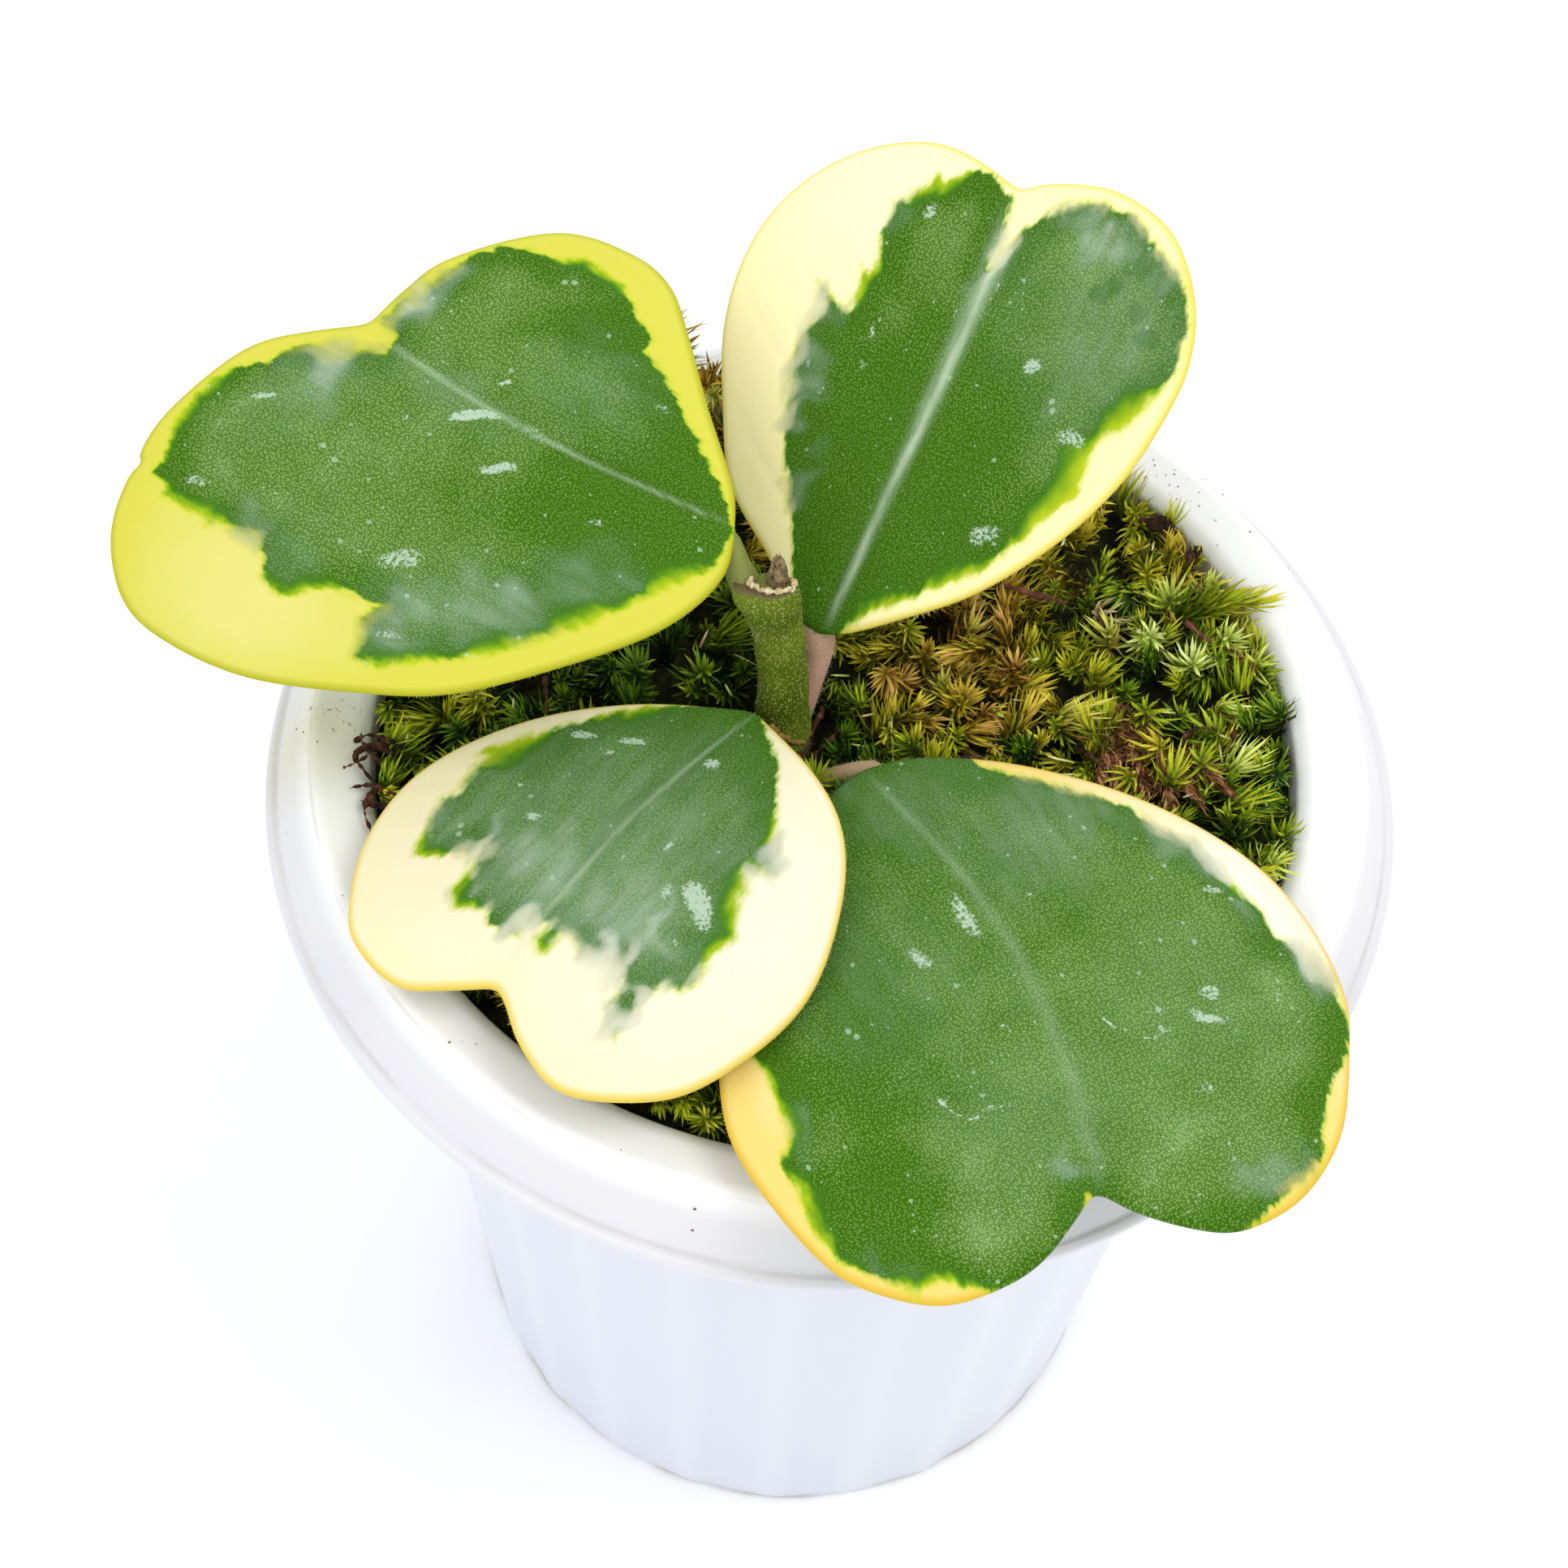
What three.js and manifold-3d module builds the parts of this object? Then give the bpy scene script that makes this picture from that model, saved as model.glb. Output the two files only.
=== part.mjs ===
// Variegated sweetheart hoya: four thick heart-shaped leaves on a short upright stem,
// standing in moss and soil in a white plastic pot. Millimetres, +Z up, with the origin
// in the middle of the pot's foot, and +Y away from the viewer.
import * as THREE from 'three';
import { mergeVertices } from 'three/addons/utils/BufferGeometryUtils.js';
import Module from 'manifold-3d';

const wasm = await Module();
wasm.setup();

// Pot: heights and radii of its outside
const potHeight = 111.4;
const footRadius = 39.2;
const wallTopRadius = 50;
const lipRadius = 60;
const lipDrop = 7.4;
const crestRadius = 54.4;
const flangeRadius = 49.6;
const wallThickness = 1.2;
const floorThickness = 3.5;
const potSides = 72;
const fluteCount = 24;
const fluteDepth = 0.55;
const drainHoleCount = 6;
const drainHoleRadius = 3.5;
const drainCircleRadius = 25;

// Filling: how high the soil and the moss stand, and the clearance between pieces
const clearance = 0.3;
const soilTop = 103.5;
const mossRim = 109.3;
const mossRadius = 48.2;
const mossRings = 20;
const mossPeak = 2.7;
const shootCount = 130;

// Stem: how deep it is buried and how thick it is
const stemBuriedTo = 66;
const stemRadius = 2.65;
const stemSides = 12;

// Blades: full thickness in the middle, and at the shoulder of the rounded edge
const bladeThickness = 2.4;
const edgeThickness = 1.5;
const aboveSheet = 0.35;
const outlineSteps = 22;
const petioleSides = 8;

// A seeded random number from 0 to 1
function makeRandom(seed) {
  let state = seed;
  return () => {
    state = (state * 1664525 + 1013904223) % 4294967296;
    return state / 4294967296;
  };
}

function point(x, y, z) {
  return new THREE.Vector3(x, y, z);
}

// Joins and cuts

function toSolid(geometry) {
  const bare = geometry.index ? geometry.clone() : mergeVertices(geometry.clone(), 1e-5);
  bare.deleteAttribute('normal');
  bare.deleteAttribute('uv');
  const merged = mergeVertices(bare, 1e-4);
  const corners = merged.getIndex().array;
  const places = merged.getAttribute('position').array;
  const kept = [];
  for (let i = 0; i < corners.length; i += 3) {
    const [a, b, c] = [corners[i], corners[i + 1], corners[i + 2]];
    if (a !== b && b !== c && c !== a) kept.push(a, b, c);
  }
  const mesh = new wasm.Mesh({
    numProp: 3,
    vertProperties: new Float32Array(places),
    triVerts: new Uint32Array(facingOut(places, kept)),
  });
  return new wasm.Manifold(mesh);
}

// Turns the triangles over where they enclose a negative volume
function facingOut(places, corners) {
  const corner = (i) => point(places[3 * i], places[3 * i + 1], places[3 * i + 2]);
  let volume = 0;
  for (let i = 0; i < corners.length; i += 3) {
    const [a, b, c] = [corner(corners[i]), corner(corners[i + 1]), corner(corners[i + 2])];
    volume += a.dot(b.cross(c));
  }
  if (volume > 0) return corners;
  const turned = [];
  for (let i = 0; i < corners.length; i += 3) {
    turned.push(corners[i], corners[i + 2], corners[i + 1]);
  }
  return turned;
}

function toGeometry(solid) {
  const mesh = solid.getMesh();
  const geometry = new THREE.BufferGeometry();
  geometry.setAttribute('position', new THREE.BufferAttribute(mesh.vertProperties, 3));
  geometry.setIndex(new THREE.BufferAttribute(mesh.triVerts, 1));
  geometry.computeVertexNormals();
  return geometry;
}

function indexed(places, corners) {
  const geometry = new THREE.BufferGeometry();
  const flat = places.flatMap((place) => [place.x, place.y, place.z]);
  geometry.setAttribute('position', new THREE.BufferAttribute(new Float32Array(flat), 3));
  geometry.setIndex(corners);
  return geometry;
}

// Basic forms

// A profile of [radius, height] pairs spun round the upright axis
function spun(profile, sides) {
  const points = profile.map(([radius, height]) => new THREE.Vector2(radius, height));
  return new THREE.LatheGeometry(points, sides).rotateX(Math.PI / 2);
}

function uprightCylinder(radius, bottom, top, sides, x = 0, y = 0) {
  const geometry = new THREE.CylinderGeometry(radius, radius, top - bottom, sides);
  geometry.rotateX(Math.PI / 2).translate(x, y, (top + bottom) / 2);
  return geometry;
}

// A round shoot along a curve; its radius at each place along the curve comes from radiusAt
function tapered(curve, steps, sides, radiusAt) {
  const frames = curve.computeFrenetFrames(steps, false);
  const places = [curve.getPointAt(0)];
  for (let i = 0; i <= steps; i++) {
    const along = i / steps;
    const centre = curve.getPointAt(along);
    for (let k = 0; k < sides; k++) {
      const turn = (2 * Math.PI * k) / sides;
      const out = frames.normals[i].clone().multiplyScalar(Math.cos(turn));
      out.addScaledVector(frames.binormals[i], Math.sin(turn));
      places.push(centre.clone().addScaledVector(out, radiusAt(along)));
    }
  }
  places.push(curve.getPointAt(1));
  const corners = [];
  const at = (ring, side) => 1 + ring * sides + (side % sides);
  for (let k = 0; k < sides; k++) {
    corners.push(0, at(0, k + 1), at(0, k));
    for (let i = 0; i < steps; i++) {
      corners.push(at(i, k), at(i, k + 1), at(i + 1, k + 1));
      corners.push(at(i, k), at(i + 1, k + 1), at(i + 1, k));
    }
    corners.push(places.length - 1, at(steps, k), at(steps, k + 1));
  }
  return indexed(places, corners);
}

// Value of a list of [place, value] pairs at a place between them
function between(pairs, place) {
  for (let i = 1; i < pairs.length; i++) {
    const [from, low] = pairs[i - 1];
    const [to, high] = pairs[i];
    if (place <= to) {
      const share = THREE.MathUtils.clamp((place - from) / (to - from), 0, 1);
      return low + (high - low) * share;
    }
  }
  return pairs[pairs.length - 1][1];
}

// Pot

function wallRadius(height) {
  return footRadius + ((wallTopRadius - footRadius) * height) / potHeight;
}

function insideRadius(height) {
  return wallRadius(height) - wallThickness;
}

function makePot() {
  const lip = potHeight - lipDrop;
  const wallTop = potHeight - 1.9;
  const padRadius = 17;
  const recess = 1.5;
  const profile = [
    [0, 0], [padRadius, 0], [padRadius + 1.5, recess], [footRadius - 7, recess],
    [footRadius - 6, 0], [footRadius - 0.7, 0], [wallRadius(0.7), 0.7],
    [wallRadius(60), 60], [wallRadius(wallTop), wallTop],
    [crestRadius - 1.2, wallTop], [crestRadius + 0.2, wallTop - 0.6],
    [lipRadius - 1.7, lip - 0.6], [lipRadius - 1.4, lip - 1.3], [lipRadius - 0.4, lip - 1.3],
    [lipRadius, lip - 0.8], [lipRadius, lip], [lipRadius - 0.5, lip + 0.4],
    [crestRadius + 1.3, potHeight - 1.3], [crestRadius + 0.4, potHeight - 0.2],
    [crestRadius - 0.4, potHeight], [flangeRadius + 0.4, potHeight - 0.6],
    [insideRadius(potHeight - 1.6), potHeight - 1.6],
    [insideRadius(60), 60], [insideRadius(floorThickness), floorThickness],
    [0, floorThickness],
  ];
  const shell = spun(profile, potSides);
  fluteWall(shell);
  let pot = toSolid(shell);
  for (let i = 0; i < drainHoleCount; i++) {
    const turn = (2 * Math.PI * i) / drainHoleCount;
    const x = drainCircleRadius * Math.cos(turn);
    const y = drainCircleRadius * Math.sin(turn);
    pot = pot.subtract(toSolid(uprightCylinder(drainHoleRadius, -1, 6, 12, x, y)));
  }
  const notch = new THREE.BoxGeometry(12, 5, 2.2);
  for (const degrees of [30, 90, 150]) {
    const turn = THREE.MathUtils.degToRad(degrees);
    const cut = notch.clone().translate(footRadius - 1, 0, 0).rotateZ(turn);
    pot = pot.subtract(toSolid(cut));
  }
  return pot;
}

// Shallow upright flutes: flats between faint corners, all round the outside of the wall
function fluteWall(shell) {
  const places = shell.getAttribute('position');
  for (let i = 0; i < places.count; i++) {
    const [x, y, z] = [places.getX(i), places.getY(i), places.getZ(i)];
    const radius = Math.hypot(x, y);
    const onWall = Math.abs(radius - wallRadius(z)) < 0.1 && z > 0.1 && z < potHeight - 1.8;
    if (!onWall) continue;
    const flat = 0.5 - 0.5 * Math.cos(fluteCount * Math.atan2(y, x));
    const scale = (radius - fluteDepth * flat) / radius;
    places.setXYZ(i, x * scale, y * scale, z);
  }
}

// Stem: a leaning cutting with a node at its foot and one at its cut top

const stemCurve = new THREE.CatmullRomCurve3([
  point(-3.6, 0.6, stemBuriedTo),
  point(-4.6, 0.4, 92),
  point(-5.6, 0.3, 108),
  point(-5.9, 0.2, 116),
  point(-6.3, 0.1, 124),
  point(-6.9, -0.2, 129),
  point(-7.6, -0.7, 134.5),
  point(-8.2, -1, 138.8),
]);

// Radius against height: nodes swell, and the buried end narrows
const stemProfile = [
  [stemBuriedTo, 1.9], [92, 2.3], [105, stemRadius], [109, 3.3], [111.5, 3.3],
  [114, 2.9], [119, stemRadius], [131, stemRadius], [135, 2.9], [137, 3.4], [139, 3.1],
];

function stemTube(extra) {
  const steps = 24;
  const radiusAt = (along) => between(stemProfile, stemCurve.getPointAt(along).z) + extra;
  return toSolid(tapered(stemCurve, steps, stemSides, radiusAt));
}

// The dry bud that stands in the middle of the cut top
function budStub(extra) {
  const curve = new THREE.CatmullRomCurve3([
    point(-7.9, -1, 136.8), point(-7.6, -1, 139.6), point(-7.3, -0.9, 142.9 + extra),
  ]);
  const radii = [[0, 1.3], [0.55, 1.25], [1, 0.3]];
  return toSolid(tapered(curve, 3, 7, (along) => between(radii, along) + extra));
}

function makeStem() {
  const cupped = new THREE.CylinderGeometry(2.1, 1.6, 1.2, 10);
  cupped.rotateX(Math.PI / 2).translate(-8.2, -1, 139);
  return stemTube(0).subtract(toSolid(cupped)).add(budStub(0));
}

// The room that the stem needs in whatever stands against it
function stemRoom() {
  const room = stemTube(clearance);
  return room.add(room.translate(0, 0, clearance)).add(budStub(clearance));
}

// Soil: fills the pot up to the moss, with a plain hole for the stem

function makeSoil() {
  const bottom = floorThickness + clearance;
  const top = soilTop;
  const fit = (height) => insideRadius(height) - clearance;
  const profile = [
    [0, bottom], [fit(bottom), bottom], [fit(60), 60], [fit(top), top - 1],
    [36, top - 0.2], [20, top], [0, top],
  ];
  return toSolid(spun(profile, 40)).subtract(stemTube(clearance));
}

// Moss: a mat of cushions whose surface stands up in a peak for every shoot

// Hummocks and hollows of the mat: place, height and spread of each
const mounds = [
  { x: -17, y: 39, lift: 8.5, spread: 11 },
  { x: 36, y: 16, lift: 1.8, spread: 9 },
  { x: 17, y: 26, lift: 1.6, spread: 8 },
  { x: 24, y: 4, lift: 1.2, spread: 7 },
  { x: -30, y: 14, lift: 1.4, spread: 8 },
  { x: -5.6, y: 0, lift: -2.2, spread: 7 },
];

function mossHeight(x, y) {
  const radius = Math.hypot(x, y) / mossRadius;
  const inward = 1 - radius ** 16;
  let height = mossRim + 1.1 * (1 - radius * radius);
  for (const mound of mounds) {
    const away = Math.hypot(x - mound.x, y - mound.y) / mound.spread;
    height += inward * mound.lift * Math.exp(-away * away);
  }
  return height;
}

// The lattice is rings of 6, 12, 18 ... places; one place in three is the tip of a shoot
function mossMat() {
  const random = makeRandom(7);
  const bottom = soilTop + clearance;
  const places = [point(0, 0, mossHeight(0, 0))];
  const ringStart = [0];
  const step = mossRadius / mossRings;
  for (let ring = 1; ring <= mossRings; ring++) {
    ringStart.push(places.length);
    for (let i = 0; i < 6 * ring; i++) {
      const edge = ring === mossRings;
      const turn = (2 * Math.PI * i) / (6 * ring);
      const side = Math.floor(i / ring);
      const isTip = !edge && (ring + i - side * ring) % 3 === side % 2;
      const stray = edge ? 0 : step * 0.28;
      const x = ring * step * Math.cos(turn) + stray * (2 * random() - 1);
      const y = ring * step * Math.sin(turn) + stray * (2 * random() - 1);
      const rise = isTip ? mossPeak * (0.6 + 0.6 * random()) : 0.4 * random();
      places.push(point(x, y, mossHeight(x, y) + rise));
    }
  }
  const corners = [];
  const at = (ring, i) => ringStart[ring] + (ring ? i % (6 * ring) : 0);
  for (let ring = 0; ring < mossRings; ring++) {
    for (let side = 0; side < 6; side++) {
      for (let i = 0; i <= ring; i++) {
        const inner = side * ring + i;
        const outer = side * (ring + 1) + i;
        corners.push(at(ring, inner), at(ring + 1, outer), at(ring + 1, outer + 1));
        if (i < ring) {
          corners.push(at(ring, inner), at(ring + 1, outer + 1), at(ring, inner + 1));
        }
      }
    }
  }
  const rim = 6 * mossRings;
  const bottomRadius = insideRadius(bottom) - clearance;
  const lower = places.length;
  for (let i = 0; i < rim; i++) {
    const turn = (2 * Math.PI * i) / rim;
    places.push(point(bottomRadius * Math.cos(turn), bottomRadius * Math.sin(turn), bottom));
  }
  places.push(point(0, 0, bottom));
  for (let i = 0; i < rim; i++) {
    const next = (i + 1) % rim;
    const top = at(mossRings, i);
    const topNext = at(mossRings, i + 1);
    corners.push(top, lower + i, lower + next, top, lower + next, topNext);
    corners.push(lower + next, lower + i, places.length - 1);
  }
  return toSolid(indexed(places, corners));
}

// Longer shoots lean out of the mat, most of them outwards near the rim
function mossShoots() {
  const random = makeRandom(23);
  const shoots = [];
  const goldenTurn = Math.PI * (3 - Math.sqrt(5));
  for (let i = 0; i < shootCount; i++) {
    const radius = (mossRadius - 3) * Math.sqrt((i + 0.5) / shootCount);
    const turn = i * goldenTurn;
    const x = radius * Math.cos(turn);
    const y = radius * Math.sin(turn);
    const rimward = radius / mossRadius;
    const length = (4.2 + 2 * random()) * (y < 0 ? 0.75 : 1);
    const lean = 0.25 + 0.45 * rimward * random();
    const swing = turn + 1.6 * (random() - 0.5);
    if (Math.hypot(x + 5.6, y) < 8) continue;
    const root = point(x, y, mossHeight(x, y) - 1.2);
    const way = point(Math.cos(swing) * lean, Math.sin(swing) * lean, 1).normalize();
    const cone = new THREE.ConeGeometry(1.25, length, 4, 1);
    cone.translate(0, length / 2, 0);
    cone.applyQuaternion(new THREE.Quaternion().setFromUnitVectors(point(0, 1, 0), way));
    cone.translate(root.x, root.y, root.z);
    shoots.push(toSolid(cone));
  }
  return shoots;
}

// Litter that lies in the moss

const twigs = {
  twig_red: { radius: 0.55, path: [[14.6, 21.6, 114.3], [20, 19.4, 114], [26.4, 17.4, 113.3]] },
  twig_dry: { radius: 0.45, path: [[37.6, 17.5, 113.9], [41.5, 15.2, 113.7], [46, 12, 112.9]] },
};
const chips = {
  bark_chip: { at: [33.8, 31.2, 111.4], size: [4.2, 2.2, 1.1], turn: -0.5 },
  husk: { at: [37.6, 26.9, 112.4], size: [2.4, 1.5, 0.9], turn: 1.1 },
};

function twigSolid(twig, extra) {
  const curve = new THREE.CatmullRomCurve3(twig.path.map((place) => point(...place)));
  const radiusAt = (along) => twig.radius * (1 - 0.35 * along) + extra;
  return toSolid(tapered(curve, 6, 6, radiusAt));
}

function chipSolid(chip, extra) {
  const shape = new THREE.DodecahedronGeometry(0.5);
  shape.scale(...chip.size.map((side) => side + 2 * extra));
  shape.rotateY(0.25).rotateZ(chip.turn).translate(...chip.at);
  return toSolid(shape);
}

// The dry brown clump is a patch of the same mat
const deadClump = { x: 33, y: 0.5, across: 6.2, deep: 4.6 };

function clumpPrism(extra) {
  const prism = uprightCylinder(1, 100, 125, 14);
  prism.scale(deadClump.across + extra, deadClump.deep + extra, 1);
  return toSolid(prism.translate(deadClump.x, deadClump.y, 0));
}

// Shoots that would touch a leaf are left out, and the mat has a hole for each stalk
function makeMoss(blades) {
  const lowered = blades.map((blade) => blade.translate(0, 0, -clearance));
  const crowded = (shoot) => [...blades, ...lowered].some((blade) => shoot.intersect(blade).numTri());
  const shoots = mossShoots().filter((shoot) => !crowded(shoot));
  let moss = wasm.Manifold.union([mossMat(), ...shoots]);
  moss = moss.subtract(stemTube(clearance));
  for (const leaf of Object.values(leaves)) {
    moss = moss.subtract(petioleSolid(leaf, sheetAxes(leaf), clearance));
  }
  for (const twig of Object.values(twigs)) moss = moss.subtract(twigSolid(twig, clearance));
  for (const chip of Object.values(chips)) moss = moss.subtract(chipSolid(chip, clearance));
  return moss;
}

// Leaves. A blade's outline is given in its own sheet, from the petiole at [0, 0] round
// the near half to the notch, and from the notch back round the far half; the first
// number is across the midrib and the second along it. The sheet folds a little at the
// midrib, and its halves and its length droop.

const leaves = {
  leaf_left: {
    base: [-11.9, 2.4, 142], heading: -61, pitch: 3, roll: 18,
    fold: 0.1, droopNear: 0.003, droopFar: 0.012, droopAlong: 0.0015,
    near: [
      [0, 0], [-5, -2], [-12.5, 0], [-20.5, 6], [-28.5, 14], [-33, 22], [-37.5, 33.5],
      [-38.5, 43.5], [-37, 50], [-31.5, 55.5], [-24.5, 57.5], [-18.5, 58], [-8.5, 55],
      [-3.5, 50], [0, 45],
    ],
    far: [
      [0, 45], [5, 44], [10.5, 42], [19, 34.5], [20.8, 26.5], [19.5, 21], [15.5, 16],
      [9.5, 9.5], [3.5, 2.5], [0, 0],
    ],
    petiole: [[-9.2, -0.6, 137.2], [-10.3, 0.4, 139.2], [-11.7, 2, 141.2]],
  },
  leaf_back: {
    base: [-2.8, 3.2, 125.5], heading: 22, pitch: 34, roll: 12,
    fold: 0.1, droopNear: 0.004, droopFar: 0.004, droopAlong: 0.0015,
    near: [
      [0, 0], [-7, 5], [-15.5, 10], [-20.2, 17.7], [-24.2, 25.8], [-25.5, 34.2], [-23.6, 41.5],
      [-19, 47.2], [-12.8, 50.7], [-7, 51.2], [0.2, 49.3],
    ],
    far: [
      [0.2, 49.3], [3.5, 51.2], [10.3, 52.4], [17.5, 50.2], [22.7, 44.5], [25, 38.2],
      [25, 31.8], [23.6, 24.3], [20, 16.5], [14.3, 9], [7.2, 3.6], [0, 0],
    ],
    petiole: [[-4.4, 1.4, 110.8], [-2.4, 3.6, 115.5], [-2, 4.4, 121], [-2.6, 4.2, 124.8]],
  },
  leaf_front: {
    base: [-8.7, -3.6, 119.6], heading: -145, pitch: 2, roll: -5,
    fold: 0.06, droopNear: 0.004, droopFar: 0.005, droopAlong: 0.002,
    near: [
      [0, 0], [-9.5, 2.5], [-16, 6], [-21, 12], [-25, 21], [-25.5, 28.5], [-23, 37.5],
      [-18.5, 42.5], [-12.5, 45.5], [-6.5, 44], [-2.5, 41.5], [-0.5, 40.5],
    ],
    far: [
      [-0.5, 40.5], [4, 44], [7.5, 46], [12.5, 45.5], [17, 43], [22, 35], [23, 25.5],
      [18.5, 15.5], [10.5, 7], [0, 0],
    ],
    petiole: [[-6.6, -1.2, 111.2], [-8.3, -3.1, 113.4], [-9, -3.9, 117.2]],
  },
  leaf_right: {
    base: [2.6, -7.1, 115.6], heading: 153, pitch: 7, roll: -2,
    fold: 0.05, droopNear: 0.003, droopFar: 0.003, droopAlong: 0.0015,
    near: [
      [0, 0], [-6, 1], [-15, 6], [-24.5, 14.5], [-31, 24], [-33.5, 33], [-33, 42.5],
      [-30, 49], [-25, 56.5], [-18.5, 61], [-12, 62], [-8, 60.5], [-3, 56.5], [-0.5, 53],
    ],
    far: [
      [-0.5, 53], [7, 57.5], [13, 58.5], [18.5, 57.5], [24, 53], [26.5, 48.5], [28.5, 40.5],
      [29, 34], [27.5, 28], [24.5, 21.5], [18, 14], [10, 7], [4.5, 2], [0, 0],
    ],
    petiole: [[-4.2, -0.9, 111], [-1.1, -3.9, 112], [2.2, -6.2, 113.4]],
  },
};

// Axes of a blade's sheet: across the midrib, along it, and out of its upper face
function sheetAxes(leaf) {
  const [heading, pitch, roll] = [leaf.heading, leaf.pitch, leaf.roll].map(THREE.MathUtils.degToRad);
  const along = point(
    Math.cos(pitch) * Math.sin(heading),
    Math.cos(pitch) * Math.cos(heading),
    Math.sin(pitch),
  );
  const level = point(Math.cos(heading), -Math.sin(heading), 0);
  const raised = new THREE.Vector3().crossVectors(level, along);
  const across = level.multiplyScalar(Math.cos(roll)).addScaledVector(raised, Math.sin(roll));
  const out = new THREE.Vector3().crossVectors(across, along);
  return { across, along, out };
}

// Height of the sheet above its flat plane
function sheetLift(leaf, u, v) {
  const droop = u < 0 ? leaf.droopNear : leaf.droopFar;
  const crease = 3;
  const fold = leaf.fold * (Math.hypot(u, crease) - crease);
  return fold - droop * u * u - leaf.droopAlong * v * v;
}

// A place on the sheet, moved out of it by offset
function onSheet(leaf, axes, u, v, offset) {
  const place = point(...leaf.base);
  place.addScaledVector(axes.across, u).addScaledVector(axes.along, v);
  return place.addScaledVector(axes.out, sheetLift(leaf, u, v) + offset);
}

function bladeOutline(leaf) {
  const halves = [leaf.near, leaf.far].map((half) => {
    const curve = new THREE.SplineCurve(half.map(([u, v]) => new THREE.Vector2(u, v)));
    return curve.getSpacedPoints(outlineSteps).slice(0, -1);
  });
  return halves.flat();
}

// The edge lies on the sheet, a third of the thickness is above it and the rest below;
// rings shrink from the outline to the middle of the midrib, alike on both faces
function bladeSolid(leaf, axes) {
  const outline = bladeOutline(leaf);
  const count = outline.length;
  const middle = new THREE.Vector2(0, leaf.near[leaf.near.length - 1][1] / 2);
  const rings = [
    { share: 0.4, thick: bladeThickness },
    { share: 0.78, thick: bladeThickness * 0.92 },
    { share: 0.965, thick: edgeThickness },
  ];
  const faceOf = (portion) => {
    const face = [onSheet(leaf, axes, middle.x, middle.y, portion * bladeThickness)];
    for (const { share, thick } of rings) {
      for (const place of outline) {
        const spot = middle.clone().lerp(place, share);
        face.push(onSheet(leaf, axes, spot.x, spot.y, portion * thick));
      }
    }
    return face;
  };
  const upper = faceOf(aboveSheet);
  const lower = faceOf(aboveSheet - 1);
  const edge = outline.map((place) => onSheet(leaf, axes, place.x, place.y, 0));
  const places = [...upper, ...lower, ...edge];
  const corners = [];
  const strip = (from, to, turned) => {
    for (let i = 0; i < count; i++) {
      const next = (i + 1) % count;
      const quad = [from + i, from + next, to + next, to + i];
      const order = turned ? [0, 2, 1, 0, 3, 2] : [0, 1, 2, 0, 2, 3];
      corners.push(...order.map((k) => quad[k]));
    }
  };
  for (const [start, turned] of [[0, false], [upper.length, true]]) {
    for (let i = 0; i < count; i++) {
      const next = (i + 1) % count;
      const fan = [start, start + 1 + i, start + 1 + next];
      corners.push(...(turned ? fan : [fan[0], fan[2], fan[1]]));
    }
    for (let ring = 0; ring < rings.length - 1; ring++) {
      strip(start + 1 + ring * count, start + 1 + (ring + 1) * count, turned);
    }
    strip(start + 1 + (rings.length - 1) * count, upper.length + lower.length, turned);
  }
  return toSolid(indexed(places, corners));
}

// The petiole runs on under the blade as its midrib, and thins towards the notch
function petioleSolid(leaf, axes, extra = 0) {
  const length = leaf.near[leaf.near.length - 1][1];
  const ribDepth = (aboveSheet - 0.85) * bladeThickness;
  const rib = [0.1, 0.3, 0.55].map((share) => onSheet(leaf, axes, 0, length * share, ribDepth));
  const path = [...leaf.petiole.map((place) => point(...place)), ...rib];
  const curve = new THREE.CatmullRomCurve3(path, false, 'centripetal');
  const radii = [[0, 1.75], [0.12, 1.5], [0.3, 1.45], [0.6, 1.1], [1, 0.4]];
  return toSolid(tapered(curve, 16, petioleSides, (along) => between(radii, along) + extra));
}

function makeLeaf(leaf) {
  const axes = sheetAxes(leaf);
  return bladeSolid(leaf, axes)
    .add(petioleSolid(leaf, axes))
    .subtract(stemRoom());
}

// The whole plant in its pot

const plant = new THREE.Group();
plant.name = 'sweetheart_hoya';

function addPiece(name, solid, color, roughness) {
  const material = new THREE.MeshStandardMaterial({ color, roughness, metalness: 0 });
  const mesh = new THREE.Mesh(toGeometry(solid), material);
  mesh.name = name;
  plant.add(mesh);
}

addPiece('pot', makePot(), 0xf1f3f8, 0.3);
addPiece('soil', makeSoil(), 0x3a2a1e, 0.95);
const blades = Object.values(leaves).map(makeLeaf);
const moss = makeMoss(blades);
addPiece('moss', moss.subtract(clumpPrism(clearance)), 0x6d8420, 0.85);
addPiece('moss_dead', moss.intersect(clumpPrism(0)), 0x7a4a2c, 0.9);
addPiece('stem', makeStem(), 0x4e6b2a, 0.5);
Object.keys(leaves).forEach((name, i) => addPiece(name, blades[i], 0x4a8340, 0.42));
for (const [name, twig] of Object.entries(twigs)) {
  addPiece(name, twigSolid(twig, 0), 0x6b3a2c, 0.8);
}
for (const [name, chip] of Object.entries(chips)) {
  addPiece(name, chipSolid(chip, 0), 0x4a2f22, 0.85);
}

export default plant;
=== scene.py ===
# Variegated sweetheart hoya in a white nursery pot: the looks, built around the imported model.
# Metres, +Z up, origin in the middle of the pot's foot; lists of sizes below are in mm.
import math
from functools import partial

import bpy
import numpy as np
from mathutils import Matrix, Vector, noise


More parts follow.
